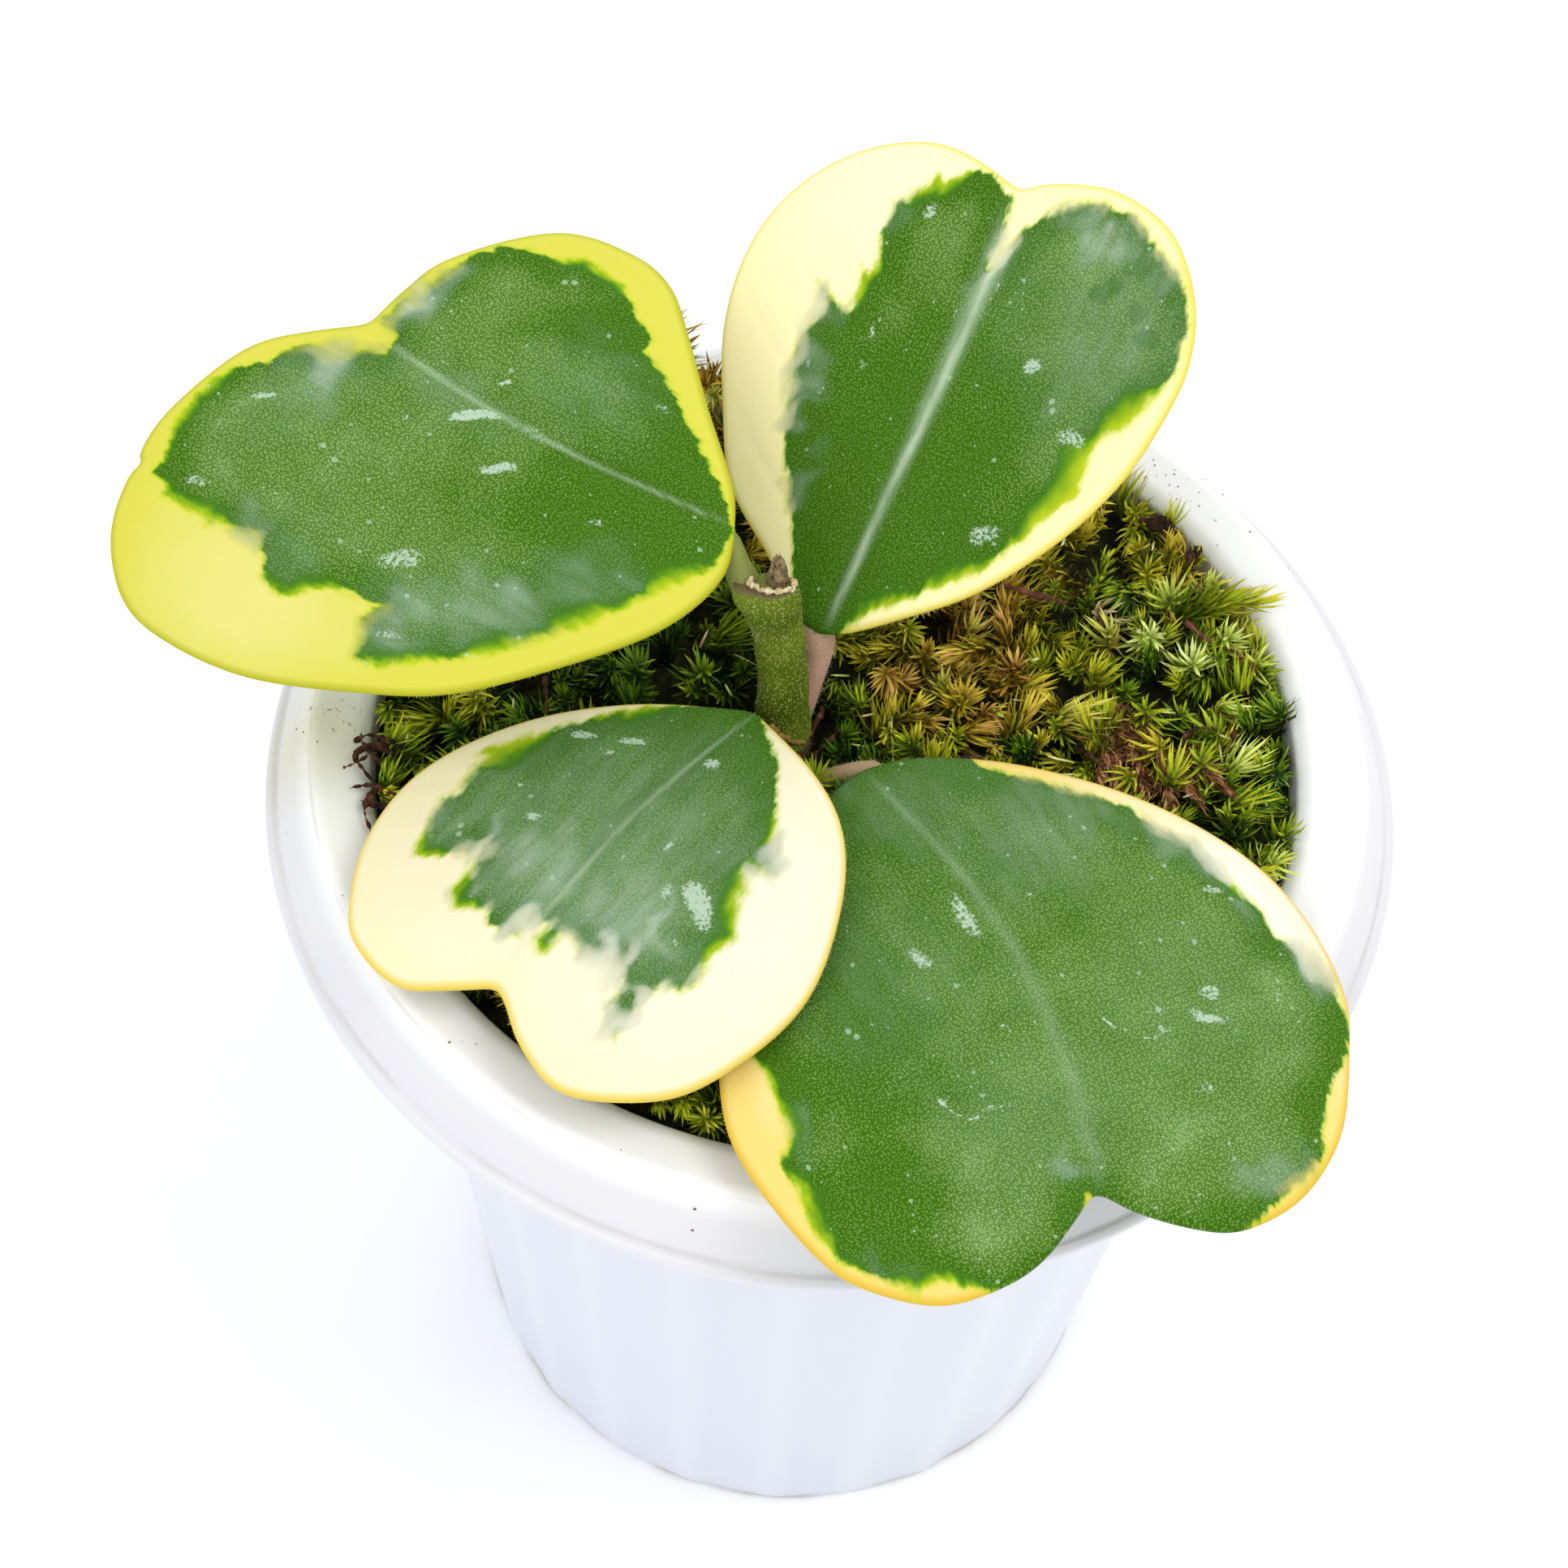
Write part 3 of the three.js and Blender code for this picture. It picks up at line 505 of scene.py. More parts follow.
# Outlines and markings are (across, along) in the leaf's own sheet, mm; marks go on with half width,
# half length, tilt in degrees and strength. "ribLine" is the midrib's shift, half width and paleness,
# and "margin" is yellow, cream and the colour of the edge.
leaves = {
    "leaf_left": {
        "base": (-11.9, 2.4, 142), "heading": -61, "pitch": 3, "roll": 18,
        "fold": 0.1, "droopNear": 0.003, "droopFar": 0.012, "droopAlong": 0.0015,
        "near": [(0, 0), (-5, -2), (-12.5, 0), (-20.5, 6), (-28.5, 14), (-33, 22), (-37.5, 33.5),
            (-38.5, 43.5), (-37, 50), (-31.5, 55.5), (-24.5, 57.5), (-18.5, 58), (-8.5, 55), (-3.5, 50),
            (0, 45)],
        "far": [(0, 45), (5, 44), (10.5, 42), (19, 34.5), (20.8, 26.5), (19.5, 21), (15.5, 16), (9.5, 9.5),
            (3.5, 2.5), (0, 0)],
        "petiole": [(-7.1, -0.4, 130), (-8.5, -0.9, 133.8), (-10.2, -0.9, 136.8), (-11.6, 0.3, 139.2),
            (-12.7, 2, 140.7)],
        "blush": 0.08,
        "girth": [(0, 2.4), (0.12, 2.05), (0.22, 1.6), (0.34, 1.2), (0.45, 0.9), (0.7, 0.8), (1, 0.3)],
        "ribBend": -2, "ribLine": (0, 0.3, 0.5),
        "green": [(-0.5, -0.5), (-5, -1), (-16.5, 6.5), (-23.5, 12.5), (-30.5, 22), (-31, 25),
            (-28.5, 25.5), (-27, 27), (-25, 25.5), (-26, 31), (-29.5, 35), (-28.5, 38), (-26.5, 39),
            (-25.5, 40.5), (-26, 45), (-27, 46), (-26, 47.5), (-26.5, 52.5), (-25, 53), (-24.5, 55),
            (-22.5, 55), (-19, 56.5), (-15, 56.5), (-11, 55), (-8.5, 51.5), (-6.5, 51), (-5, 49),
            (-2, 41.5), (0, 41.5), (1, 44), (4, 43.5), (6.5, 42), (11.5, 40.5), (14, 38.5), (15.5, 35.5),
            (16, 32.5), (17.5, 30), (17, 24.5), (14, 20.5), (13.5, 18.5), (11.5, 18), (10, 14.5), (2, 2)],
        "deep": [(-8, 9, 9, 9, 0, 0.25), (-2.3, 6.5, 5, 4, 0, 0.5), (-3, 13, 2, 7, 0, 0.35),
            (12, 22, 3, 8, 30, 0.35)],
        "nicks": [(-24.6, 57.6, 0.9)],
        "ashy": [(-26, 23, 4.5, 4.5, 0, 0.7), (-19.5, 15, 4.5, 8, 20, 0.62), (-13, 10, 3.5, 6, 30, 0.45),
            (-26, 42, 2.5, 3, 0, 0.7), (-5, 45.5, 6, 3.5, 0, 0.8), (4, 42.5, 4.5, 3, 0, 0.88),
            (8, 41, 3.5, 2.5, 0, 0.6), (-2.5, 33, 2.5, 9, 0, 0.32), (5, 20, 5, 7, 0, 0.3),
            (-9, 47.5, 6, 4, 0, 0.3), (-25, 37, 4, 4, 0, 0.3)],
        "lime": [(-16, 6.5, 5, 4, 50, 1.8), (-22.5, 12, 4, 4, 50, 1.5), (-28.5, 20, 3, 5, 0, 1.2),
            (-27, 47, 4, 5, 0, 1.6), (-27, 33, 3, 4, 0, 1.0), (-9, 2.5, 4, 3, 0, 2.2),
            (18, 28, 3, 5, 0, 1.2), (-16, 56, 6, 3, 0, 1.4)],
        "scars": [(-7, 23.5, 0.9, 3.2, 30, 0.9), (-20, 26.5, 1.7, 3.6, 30, 0.8),
            (-3.5, 29, 0.9, 3.6, 30, 1), (-12, 49.5, 0.6, 2.2, 30, 0.9), (-23, 50, 0.7, 2.4, 30, 0.8),
            (-7, 12, 0.6, 1.4, 30, 0.8), (-13, 32, 0.4, 1, 30, 0.6), (-27, 23, 0.7, 2.6, 30, 0.8),
            (-10, 5.5, 0.5, 2, 30, 0.6), (14.5, 25.5, 1.2, 1.7, 0, 0.6), (6.5, 13, 0.9, 2, 0, 0.7),
            (1.5, 28, 0.4, 0.8, 30, 1), (-16, 28, 0.5, 1, 30, 0.5), (-6.5, 34.5, 0.4, 0.6, 0, 0.8),
            (-14, 44, 0.4, 0.6, 0, 0.6)],
        "margin": ["#D4D04E", "#DFD97C", "#B6B622"], "creamSpot": (-30, 38, 11),
    },
    "leaf_back": {
        "base": (-2.8, 3.2, 125.5), "heading": 22, "pitch": 34, "roll": 12,
        "fold": 0.1, "droopNear": 0.004, "droopFar": 0.004, "droopAlong": 0.0015,
        "near": [(0, -0.6), (-3.4, 0.6), (-8.2, 4.8), (-15.5, 10.2), (-20.2, 17.7), (-24.2, 25.8),
            (-25.5, 34.2), (-23.6, 41.5), (-19, 47.2), (-12.8, 50.7), (-7, 51.2), (0.2, 49.3)],
        "far": [(0.2, 49.3), (3.5, 51.2), (10.3, 52.4), (17.5, 50.2), (22.7, 44.5), (25, 38.2), (25, 31.8),
            (23.6, 24.3), (20, 16.5), (14.3, 9), (7.2, 3.4), (3, 0.6), (0, -0.6)],
        "petiole": [(-4.3, 1.2, 110.8), (-3.6, 2.3, 115.5), (-2.9, 3.9, 121), (-2.8, 4.4, 124.5)],
        "blush": 1,
        "girth": [(0, 1.2), (0.15, 1.45), (0.3, 1.95), (0.38, 1.7), (0.5, 1), (0.7, 0.8), (1, 0.3)],
        # the wide pale band beside its midrib is partly painted highlight where the fold catches the light
        "ribBend": 0.8, "ribLine": (0.9, 0.85, 1.0),
        "green": [(0, -1.8), (-3.9, 0.2), (-5.8, 6), (-12.5, 18), (-15, 26), (-14, 31), (-16, 33.5),
            (-11.5, 31.5), (-11, 32), (-12, 36.5), (-11, 36), (-10.5, 36.5), (-11.5, 40.5), (-11.5, 44),
            (-10.5, 44.5), (-8.5, 48), (-7.5, 47.5), (-5, 50), (-3, 50), (0, 48.5), (1, 44.5), (1, 40.5),
            (3, 46), (6, 49.5), (9.5, 51), (11, 50.5), (13, 51), (21.5, 45.5), (23.5, 42), (24.5, 36.5),
            (22, 29.5), (20.5, 28.5), (20, 26.5), (20.5, 22), (15.5, 13), (14, 11), (4.5, 2.9),
            (2.2, -0.5)],
        "deep": [(0, 6, 9, 12, 0, 0.3), (1, 24, 12, 14, 0, 0.3), (17.9, 40.9, 0.9, 0.8, 0, 1.1),
            (20.2, 39.1, 1.1, 0.8, 0, 1.1), (13.6, 41.5, 0.8, 0.8, 0, 0.9), (16, 45.5, 1.2, 0.8, 0, 0.8),
            (15, 43.1, 1, 0.9, 0, 0.9), (-1.5, 14.5, 0.7, 10, 0, 0.8), (11, 14, 4, 9, 60, 0.25)],
        "nicks": [],
        "ashy": [(-14.6, 30, 2.5, 4.5, 0, 0.8), (-13.8, 24, 2.2, 5, 0, 0.7),
            (-12.4, 18.5, 1.7, 5, -15, 0.7), (-9, 11.5, 1.3, 5, -30, 0.5), (17, 38, 9, 10, 0, 0.42),
            (8.5, 49, 4, 2.5, 0, 0.6), (12.5, 47, 3.5, 3, 0, 0.75), (18.5, 46, 3, 3, 0, 0.5),
            (1.8, 42, 1.6, 4.5, 0, 0.8), (-11, 44, 2, 4, 0, 0.35), (10, 40, 9, 9, 0, 0.18)],
        "lime": [(19, 22, 4, 7, 0, 3.2), (22, 31, 3, 3.5, 0, 2.8), (13, 10, 5, 3, 0, 1.4),
            (-8, 47, 3, 3, 0, 1.3), (-12, 35, 2.5, 4, 0, 1.2), (6, 4.5, 4, 3, 0, 1.2)],
        "scars": [(-7.5, 44, 1.1, 1.6, 0, 0.8), (-4, 45, 0.5, 0.6, 0, 0.9), (-7.5, 30.5, 0.5, 1.6, 0, 0.8),
            (-7, 27, 0.8, 1, 0, 0.7), (-10.5, 23, 0.6, 1.4, 0, 0.7), (10.5, 32.5, 1.3, 1.6, 110, 0.9),
            (17.5, 27, 1.6, 2.8, 110, 0.8), (13, 15, 1.4, 2.8, 110, 0.8), (16, 23.5, 0.5, 0.5, 0, 0.8),
            (-2, 13, 0.3, 2.6, 0, 0.6), (-1.5, 9.5, 0.3, 2.4, 0, 0.6), (3, 39, 0.5, 1, 0, 0.7),
            (20, 43.5, 0.7, 0.5, 0, 0.8), (1.5, 9, 0.3, 0.9, 0, 0.6), (-12.5, 24.5, 0.8, 0.8, 0, 0.7)],
        # its yellow is painted lighter, as painted light that makes up for the shade leaf_left casts on its
        # left half
        "margin": ["#FFF3B4", "#F7EFC6", "#EAD65A"], "creamSpot": (-12, 46, 16),
    },
    "leaf_front": {
        "base": (-8.7, -3.6, 119.6), "heading": -145, "pitch": 2, "roll": -5,
        "fold": 0.06, "droopNear": 0.004, "droopFar": 0.005, "droopAlong": 0.002,
        "near": [(0, 0), (-9.5, 2.5), (-16, 6), (-21, 12), (-25, 21), (-25.5, 28.5), (-23, 37.5),
            (-18.5, 42.5), (-12.5, 45.5), (-6.5, 44), (-2.5, 41.5), (-0.5, 40.5)],
        "far": [(-0.5, 40.5), (4, 44), (7.5, 46), (12.5, 45.5), (17, 43), (22, 35), (23, 25.5),
            (18.5, 15.5), (10.5, 7), (0, 0)],
        "petiole": [(-6.6, -1.2, 111.2), (-8.3, -3.1, 113.4), (-9, -3.9, 117.2)],
        "blush": 0.5,
        "girth": [(0, 1.6), (0.2, 1.5), (0.3, 1.3), (0.45, 1), (0.7, 0.8), (1, 0.3)],
        "ribBend": 1.5, "ribLine": (-0.5, 0.4, 0.6),
        "green": [(0, -0.5), (-6.5, 4), (-15, 15), (-12.5, 16.5), (-14, 18), (-14, 19.5), (-16.5, 23),
            (-16, 24.5), (-16.5, 29.5), (-16, 31), (-14, 31.5), (-13.5, 33.5), (-14, 38.5), (-12.5, 38),
            (-11, 36), (-10.5, 33.5), (-8.5, 32), (-5, 33.5), (-3.5, 32.5), (-2.5, 33), (-3, 35.5),
            (-1.5, 36), (-0.5, 35), (-0.5, 33), (1.5, 34), (1, 35.5), (2.5, 36.5), (5, 36), (5.5, 35),
            (8.5, 37), (10, 35.5), (10.5, 30), (14.5, 34), (16, 34.5), (17, 33), (18.5, 27.5), (17.5, 26),
            (18.5, 22.5), (18, 21), (19, 21.5), (19, 20), (10, 7.5), (3, 1)],
        "deep": [(1.3, 13, 1, 12, 0, 0.6), (1, 4, 4, 4, 0, 0.4), (14, 17, 3, 4, 0, 0.3)],
        "nicks": [],
        "ashy": [(0, 20, 18, 14, 0, 0.5), (-6, 27, 8, 8, 0, 0.72), (5, 28, 9, 7, 0, 0.72),
            (14, 26, 5, 7, 0, 0.5), (16, 29.5, 2.5, 4, 0, 0.55), (11.3, 28, 1.1, 5, -12, 0.8),
            (8.5, 33.5, 2, 3, 0, 0.6), (1.8, 34, 1.8, 3.5, 0, 0.9), (-6, 31, 2.2, 3.5, 0, 0.9),
            (-9.2, 27.5, 1.9, 7, 8, 0.95), (-8, 34.5, 3.4, 4, 0, 0.9), (-13.2, 39, 1.8, 5, 8, 0.98),
            (-13.5, 37, 2, 4, 12, 0.97), (-14.5, 28, 2, 5, 0, 0.55), (-13.5, 13.5, 2.5, 3.5, 0, 0.8),
            (-11, 16.5, 2, 1.6, 0, 0.6), (-10.5, 33, 2.2, 3, 0, 0.93), (-2, 34, 1.2, 1, 0, 0.5),
            (15, 24, 6, 10, 0, 0.4), (2, 22, 12, 12, 0, 0.2)],
        "lime": [(17.5, 19, 4, 4.5, 0, 3.0), (-14, 15, 4, 10, 0, 1.9), (16, 33, 3, 4, 0, 1.2),
            (-2.2, 34.5, 1.6, 2, 0, 1.5), (9, 35, 3, 3, 0, 1.1), (-16, 26, 2.5, 4, 0, 1.4),
            (10, 8, 6, 3, 0, 1.2), (-4.5, 30.5, 1.5, 1.5, 0, 1.2)],
        "scars": [(11.5, 13.5, 0.9, 2, 126, 0.9), (7, 11, 0.7, 1.7, 126, 0.9),
            (8, 13.5, 0.6, 1.3, 126, 0.8), (-1.5, 8.5, 1.3, 1.5, -30, 0.9), (-10.9, 22.2, 1.8, 3.8, 56, 1),
            (9, 24, 0.5, 1.2, 126, 0.9), (12.5, 22, 0.4, 0.6, 126, 0.9), (-4.5, 19, 0.6, 1.4, 0, 0.8),
            (-1.5, 22.5, 0.5, 0.9, 0, 0.7), (-6.5, 31, 0.6, 0.8, 0, 0.7), (-12, 27, 0.6, 0.6, 0, 0.8),
            (-7.5, 23, 0.9, 1.6, 0, 0.8), (-2, 3.5, 0.4, 0.4, 0, 0.9)],
        "margin": ["#F2E8BE", "#F0EAD2", "#E8CC58"], "creamSpot": (-14, 20, 22),
    },
    "leaf_right": {
        "base": (2.6, -7.1, 115.6), "heading": 153, "pitch": 7, "roll": -2,
        "fold": 0.05, "droopNear": 0.003, "droopFar": 0.003, "droopAlong": 0.0015,
        "near": [(0, 0), (-6, 1), (-15, 6), (-24.5, 14.5), (-31, 24), (-33.5, 33), (-33, 42.5), (-30, 49),
            (-25, 56.5), (-18.5, 61), (-12, 62), (-8, 60.5), (-3, 56.5), (-0.5, 53)],
        "far": [(-0.5, 53), (7, 57.5), (13, 58.5), (18.5, 57.5), (24, 53), (26.5, 48.5), (28.5, 40.5),
            (29, 34), (27.5, 28), (24.5, 21.5), (18, 14), (10, 7), (4.5, 2), (0, 0)],
        "petiole": [(-5.2, -1.6, 108.5), (-2.3, -5.1, 109.8), (-0.6, -5.3, 111.2), (1.8, -5, 112.3),
            (4.3, -5.2, 113.3), (5.2, -7.5, 114)],
        "blush": 0.6,
        "girth": [(0, 0.9), (0.1, 1), (0.3, 0.95), (0.42, 0.9), (0.7, 0.8), (1, 0.3)],
        "ribBend": -4.5, "ribLine": (0, 0.8, 0.2),
        "green": [(2, -1), (-6, -0.5), (-11, 2.5), (-11.5, 5), (-23, 15.5), (-24.5, 19), (-27, 22),
            (-29.5, 32), (-29.5, 35), (-31, 37), (-32.5, 41.5), (-31.5, 46.5), (-30, 49), (-24.5, 54),
            (-22.5, 58), (-20.5, 59.5), (-12, 62.3), (-8, 62), (-2, 58), (0.5, 53.5), (5, 58.5), (12, 59),
            (15.5, 57.7), (16.5, 56.5), (18, 56), (19.5, 56.5), (25, 50.5), (26, 46.5), (25.5, 41.5),
            (26, 39), (24, 36.5), (23.5, 30), (24, 27.5), (22, 22.5), (9, 4.5), (4, -1)],
        "deep": [(18, 46, 6, 8, 0, 0.35), (14, 30, 8, 14, 0, 0.25)],
        "nicks": [],
        "ashy": [(-14, 14, 12, 8, 40, 0.45), (-3, 8, 8, 7, 0, 0.35), (8, 24, 10, 12, 0, 0.25),
            (-18, 38, 10, 10, 0, 0.18), (2, 44, 10, 8, 0, 0.22), (2, 2.5, 3, 3, 0, 0.35),
            (-4, 3, 5, 1.6, 0, 0.3), (-18.5, 14.5, 3, 5, 40, 0.45), (-24.5, 20, 2.5, 4, 25, 0.6),
            (-27, 24, 2.5, 4, 15, 0.8), (-28.5, 31, 2, 3, 0, 0.5), (-31, 39, 2.2, 4, 0, 0.9),
            (-17.5, 58.5, 4, 3, 0, 0.6), (0.5, 50.5, 2, 3, 0, 0.55), (-3.5, 30, 2, 12, 0, 0.15),
            (24, 36, 2, 3, 0, 0.4), (22, 54, 3, 3, 0, 0.35)],
        "lime": [(25, 45, 2.5, 5, 0, 1.3), (19, 56, 5, 2.5, 0, 1.1), (24, 34, 2, 5, 0, 1.2),
            (-28, 28, 2, 3, 0, 0.8)],
        "scars": [(-1.5, 21.5, 1.5, 4.8, 5, 0.8), (4.5, 24.5, 1.2, 2, 0, 0.8), (-9, 22, 0.9, 1.1, 0, 0.7),
            (11.5, 29.5, 1, 2.4, 70, 0.6), (-20, 38.5, 0.9, 1.8, 66, 0.8), (-18.5, 41, 0.9, 2.4, 35, 0.9),
            (-26, 28, 0.8, 1.8, 66, 0.8), (8, 41.5, 0.4, 2.2, 70, 0.8), (4, 42.5, 0.4, 1.8, 100, 0.8),
            (-15, 48, 0.8, 1.4, 20, 0.7), (-16.5, 55.5, 1, 1.8, 0, 0.6), (0.5, 34.5, 0.6, 0.6, 0, 0.7),
            (-5, 38, 0.5, 2, 90, 0.6), (23, 44, 0.9, 1.3, 0, 0.5), (6, 31, 0.9, 0.9, 0, 0.6),
            (9, 39, 0.8, 1.2, 0, 0.6), (24.5, 47, 0.6, 0.8, 0, 0.6), (-12, 41, 0.3, 2, 75, 0.8),
            (9, 40.3, 0.3, 1.6, 30, 0.9), (6.4, 42, 0.3, 2, 80, 0.9), (3.2, 42.6, 0.3, 1.2, 120, 0.9),
            (-9, 38, 0.3, 1.4, 20, 0.9), (-14, 41, 0.3, 1.8, 90, 0.9), (17, 34.5, 0.3, 1.3, 10, 0.8)],
        "margin": ["#EFD478", "#F8F0DA", "#E2BC40"], "creamSpot": (-30, 30, 22),
    },
}


def sheetAxes(leaf):
    heading, pitch, roll = (math.radians(leaf[name]) for name in ("heading", "pitch", "roll"))
    along = np.array([math.cos(pitch) * math.sin(heading), math.cos(pitch) * math.cos(heading),
                      math.sin(pitch)])
    level = np.array([math.cos(heading), -math.sin(heading), 0])
    across = level * math.cos(roll) + np.cross(level, along) * math.sin(roll)
    return across, along, np.cross(across, along)


# Places on a leaf's sheet, moved out of it by offset, in mm
def onSheet(leaf, u, v, offset):
    across, along, out = sheetAxes(leaf)
    droop = np.where(u < 0, leaf["droopNear"], leaf["droopFar"])
    lift = leaf["fold"] * (np.hypot(u, 3) - 3) - droop * u * u - leaf["droopAlong"] * v * v
    return np.array(leaf["base"]) + np.outer(u, across) + np.outer(v, along) + np.outer(lift + offset, out)


def bladeLength(leaf):
    return leaf["near"][-1][1]


def bladeOutline(leaf, count):
    halves = [smoothThrough(leaf[half], count // 2 + 1)[:-1] for half in ("near", "far")]
    outline = np.concatenate(halves)
    # the tip at the stalk and the notch are rounded
    for _ in range(leafLook["roundings"]):
        outline = 0.25 * np.roll(outline, 1, axis=0) + 0.5 * outline + 0.25 * np.roll(outline, -1, axis=0)
    for u, v, size in leaf["nicks"]:
        away = np.hypot(outline[:, 0] - u, outline[:, 1] - v)
        inward = np.array([0, bladeLength(leaf) / 2]) - outline
        inward /= np.linalg.norm(inward, axis=1)[:, None]
        outline = outline + inward * (0.6 * size * np.exp(-(away / size) ** 4))[:, None]
    return outline


# Distance from each place to a closed outline, and whether the place is inside it
def outlineDistance(spots, outline):
    start = np.asarray(outline, float)
    end = np.roll(start, -1, axis=0)
    nearest = np.full(len(spots), np.inf)
    inside = np.zeros(len(spots), bool)
    for a, b in zip(start, end):
        way = b - a
        share = np.clip(((spots - a) @ way) / max(way @ way, 1e-12), 0, 1)
        nearest = np.minimum(nearest, np.linalg.norm(spots - a - np.outer(share, way), axis=1))
        crosses = (a[1] > spots[:, 1]) != (b[1] > spots[:, 1])
        rise = b[1] - a[1] if abs(b[1] - a[1]) > 1e-12 else 1e-12
        inside ^= crosses & (spots[:, 0] < a[0] + (spots[:, 1] - a[1]) / rise * way[0])
    return nearest, inside


# The greatest of several soft oval marks at each place
def markStrength(spots, marks, warp):
    total = np.zeros(len(spots))
    shift = np.array([[noise.noise(Vector((a / 3, b / 3, 8))), noise.noise(Vector((a / 3, b / 3, 19)))]
                      for a, b in spots])
    spots = spots + warp * shift
    for u, v, wide, tall, tilt, strength in marks:
        turn = math.radians(tilt)
        du, dv = spots[:, 0] - u, spots[:, 1] - v
        side = (du * math.cos(turn) + dv * math.sin(turn)) / wide
        length = (dv * math.cos(turn) - du * math.sin(turn)) / tall
        total = np.maximum(total, strength * np.exp(-(side ** 2 + length ** 2) ** 1.5))
    return total


def ribPlace(leaf, v):
    return leaf["ribBend"] * np.sin(np.pi * np.clip(v / (bladeLength(leaf) * 1.08), 0, 1))


def makeBladeMaterial(name, leaf):
    # succulent leaf skin under a thin wax bloom: dull gloss, milky depth, pale dots all over
    material, node = startMaterial("waxy blade " + name)
    attribute = {key: node("Attribute", attribute_name=key, output="Fac")
                 for key in ("patch", "ashy", "lime", "scar", "edge", "rib", "creamy", "foot")}
    uv = node("UVMap", uv_map="sheet")
    place = node("VectorMath", uv, 100, operation="SCALE")
    streaked = node("Mapping", place, None, None, (1, 0.45, 1))
    jag = node("TexNoise", streaked, 0.8, 4, 0.6)
    jagShift = node("Math", jag, 2.0, -1.0, operation="MULTIPLY_ADD")
    border = node("Math", attribute["patch"], jagShift, operation="ADD")
    # margin: cream inside, clear yellow where the blade turns over at its edge
    margin = leaf["margin"]
    turned = node("MapRange", attribute["edge"], 0.75, 0.05)
    nearEdge = node("MapRange", attribute["edge"], 4, 0.8, 0, -0.2)
    inner = node("Math", attribute["creamy"], nearEdge, operation="ADD")
    cloud = node("TexNoise", place, 0.14, 3)
    creamTone = node("Math", cloud, 0.5, inner, operation="MULTIPLY_ADD")
    creamPart = node("MapRange", creamTone, 0.2, 1.0)
    cream = node("Mix", creamPart, margin[0], margin[1])
    pale = node("Mix", turned, cream, margin[2])
    # green: deeper at the foot, paler towards the notch
    nearBorder = node("MapRange", border, 4.5, 0.8, 0, 0.4)
    borderDepth = node("Math", nearBorder, attribute["foot"], operation="ADD")
    crack = node("TexNoise", place, 2.4, 3, 0.7)
    grainy = node("Math", crack, 0.5, borderDepth, operation="MULTIPLY_ADD")
    depth = node("Math", cloud, 0.75, grainy, operation="MULTIPLY_ADD")
    green = node("ValToRGB", depth,
        stops=[(0.5, "#7A9C60"), (0.7, "#567E34"), (0.97, "#436E12"), (1.25, "#3A6800")])
    # waxy dots: 0.25 mm in life, drawn a little coarser so that they show
    dots = node("TexVoronoi", place, 3.2, None, None, None, 0.95, voronoi_dimensions="2D")
    dotHere = node("MapRange", dots, 0.36, 0.14, 0, 0.66)
    dotFade = node("MapRange", depth, 0.65, 1.2, 1, 0.35)
    dotShare = node("Math", dotHere, dotFade, operation="MULTIPLY")
    dotted = node("Mix", dotShare, green, "#A8C872")
    # grey-green where a colourless layer lies over the green
    fibres = node("Mapping", place, None, None, (1.2, 0.22, 1))
    veil = node("TexNoise", fibres, 0.5, 4, 0.6)
    veilShare = node("MapRange", veil, 0.35, 0.62, 0.42, 0.98)
    veilHere = node("Math", attribute["ashy"], veilShare, operation="MULTIPLY", use_clamp=True)
    veilPale = node("Math", attribute["ashy"], 2.2, operation="POWER")
    veilTint = node("Mix", veilPale, "#709270", "#C2CEBE")
    veiled = node("Mix", veilHere, dotted, veilTint)
    # the midrib shows through as a pale line; where ribLine shifts and widens it, as on leaf_back, the pale
    # band is also a painted highlight where the fold catches the light
    ribShare = node("Math", attribute["rib"], veilShare, operation="MULTIPLY", use_clamp=True)
    ribPaleAndLit = node("Mix", ribShare, veiled, "#BCD0AE")
    # the border: a lime band, as wide as the lime attribute says in mm
    limeShare = node("Math", border, attribute["lime"], operation="DIVIDE")
    limeTone = node("ValToRGB", limeShare,
        stops=[(0.0, "#C2CE1C"), (0.35, "#94B416"), (0.7, "#5A8C12"), (1.0, "#3C740E")])
    limeEnd = node("MapRange", limeShare, 0.7, 1.6)
    noLime = node("MapRange", attribute["ashy"], 0.3, 0.7)
    limeOut = node("Math", limeEnd, noLime, operation="MAXIMUM")
    limed = node("Mix", limeOut, limeTone, ribPaleAndLit)
    softness = node("Math", veilPale, 3.5, 0.4, operation="MULTIPLY_ADD")
    ratio = node("Math", border, softness, operation="DIVIDE")
    greenHere = node("MapRange", ratio, -0.8, 1)
    whole = node("Mix", greenHere, pale, limed)
    # old scars: whitish and cracked
    scarShare = node("Math", attribute["scar"], crack, operation="MULTIPLY")
    scarHere = node("MapRange", scarShare, 0.33, 0.41, 0, 0.85)
    scarred = node("Mix", scarHere, whole, "#BACFB8")
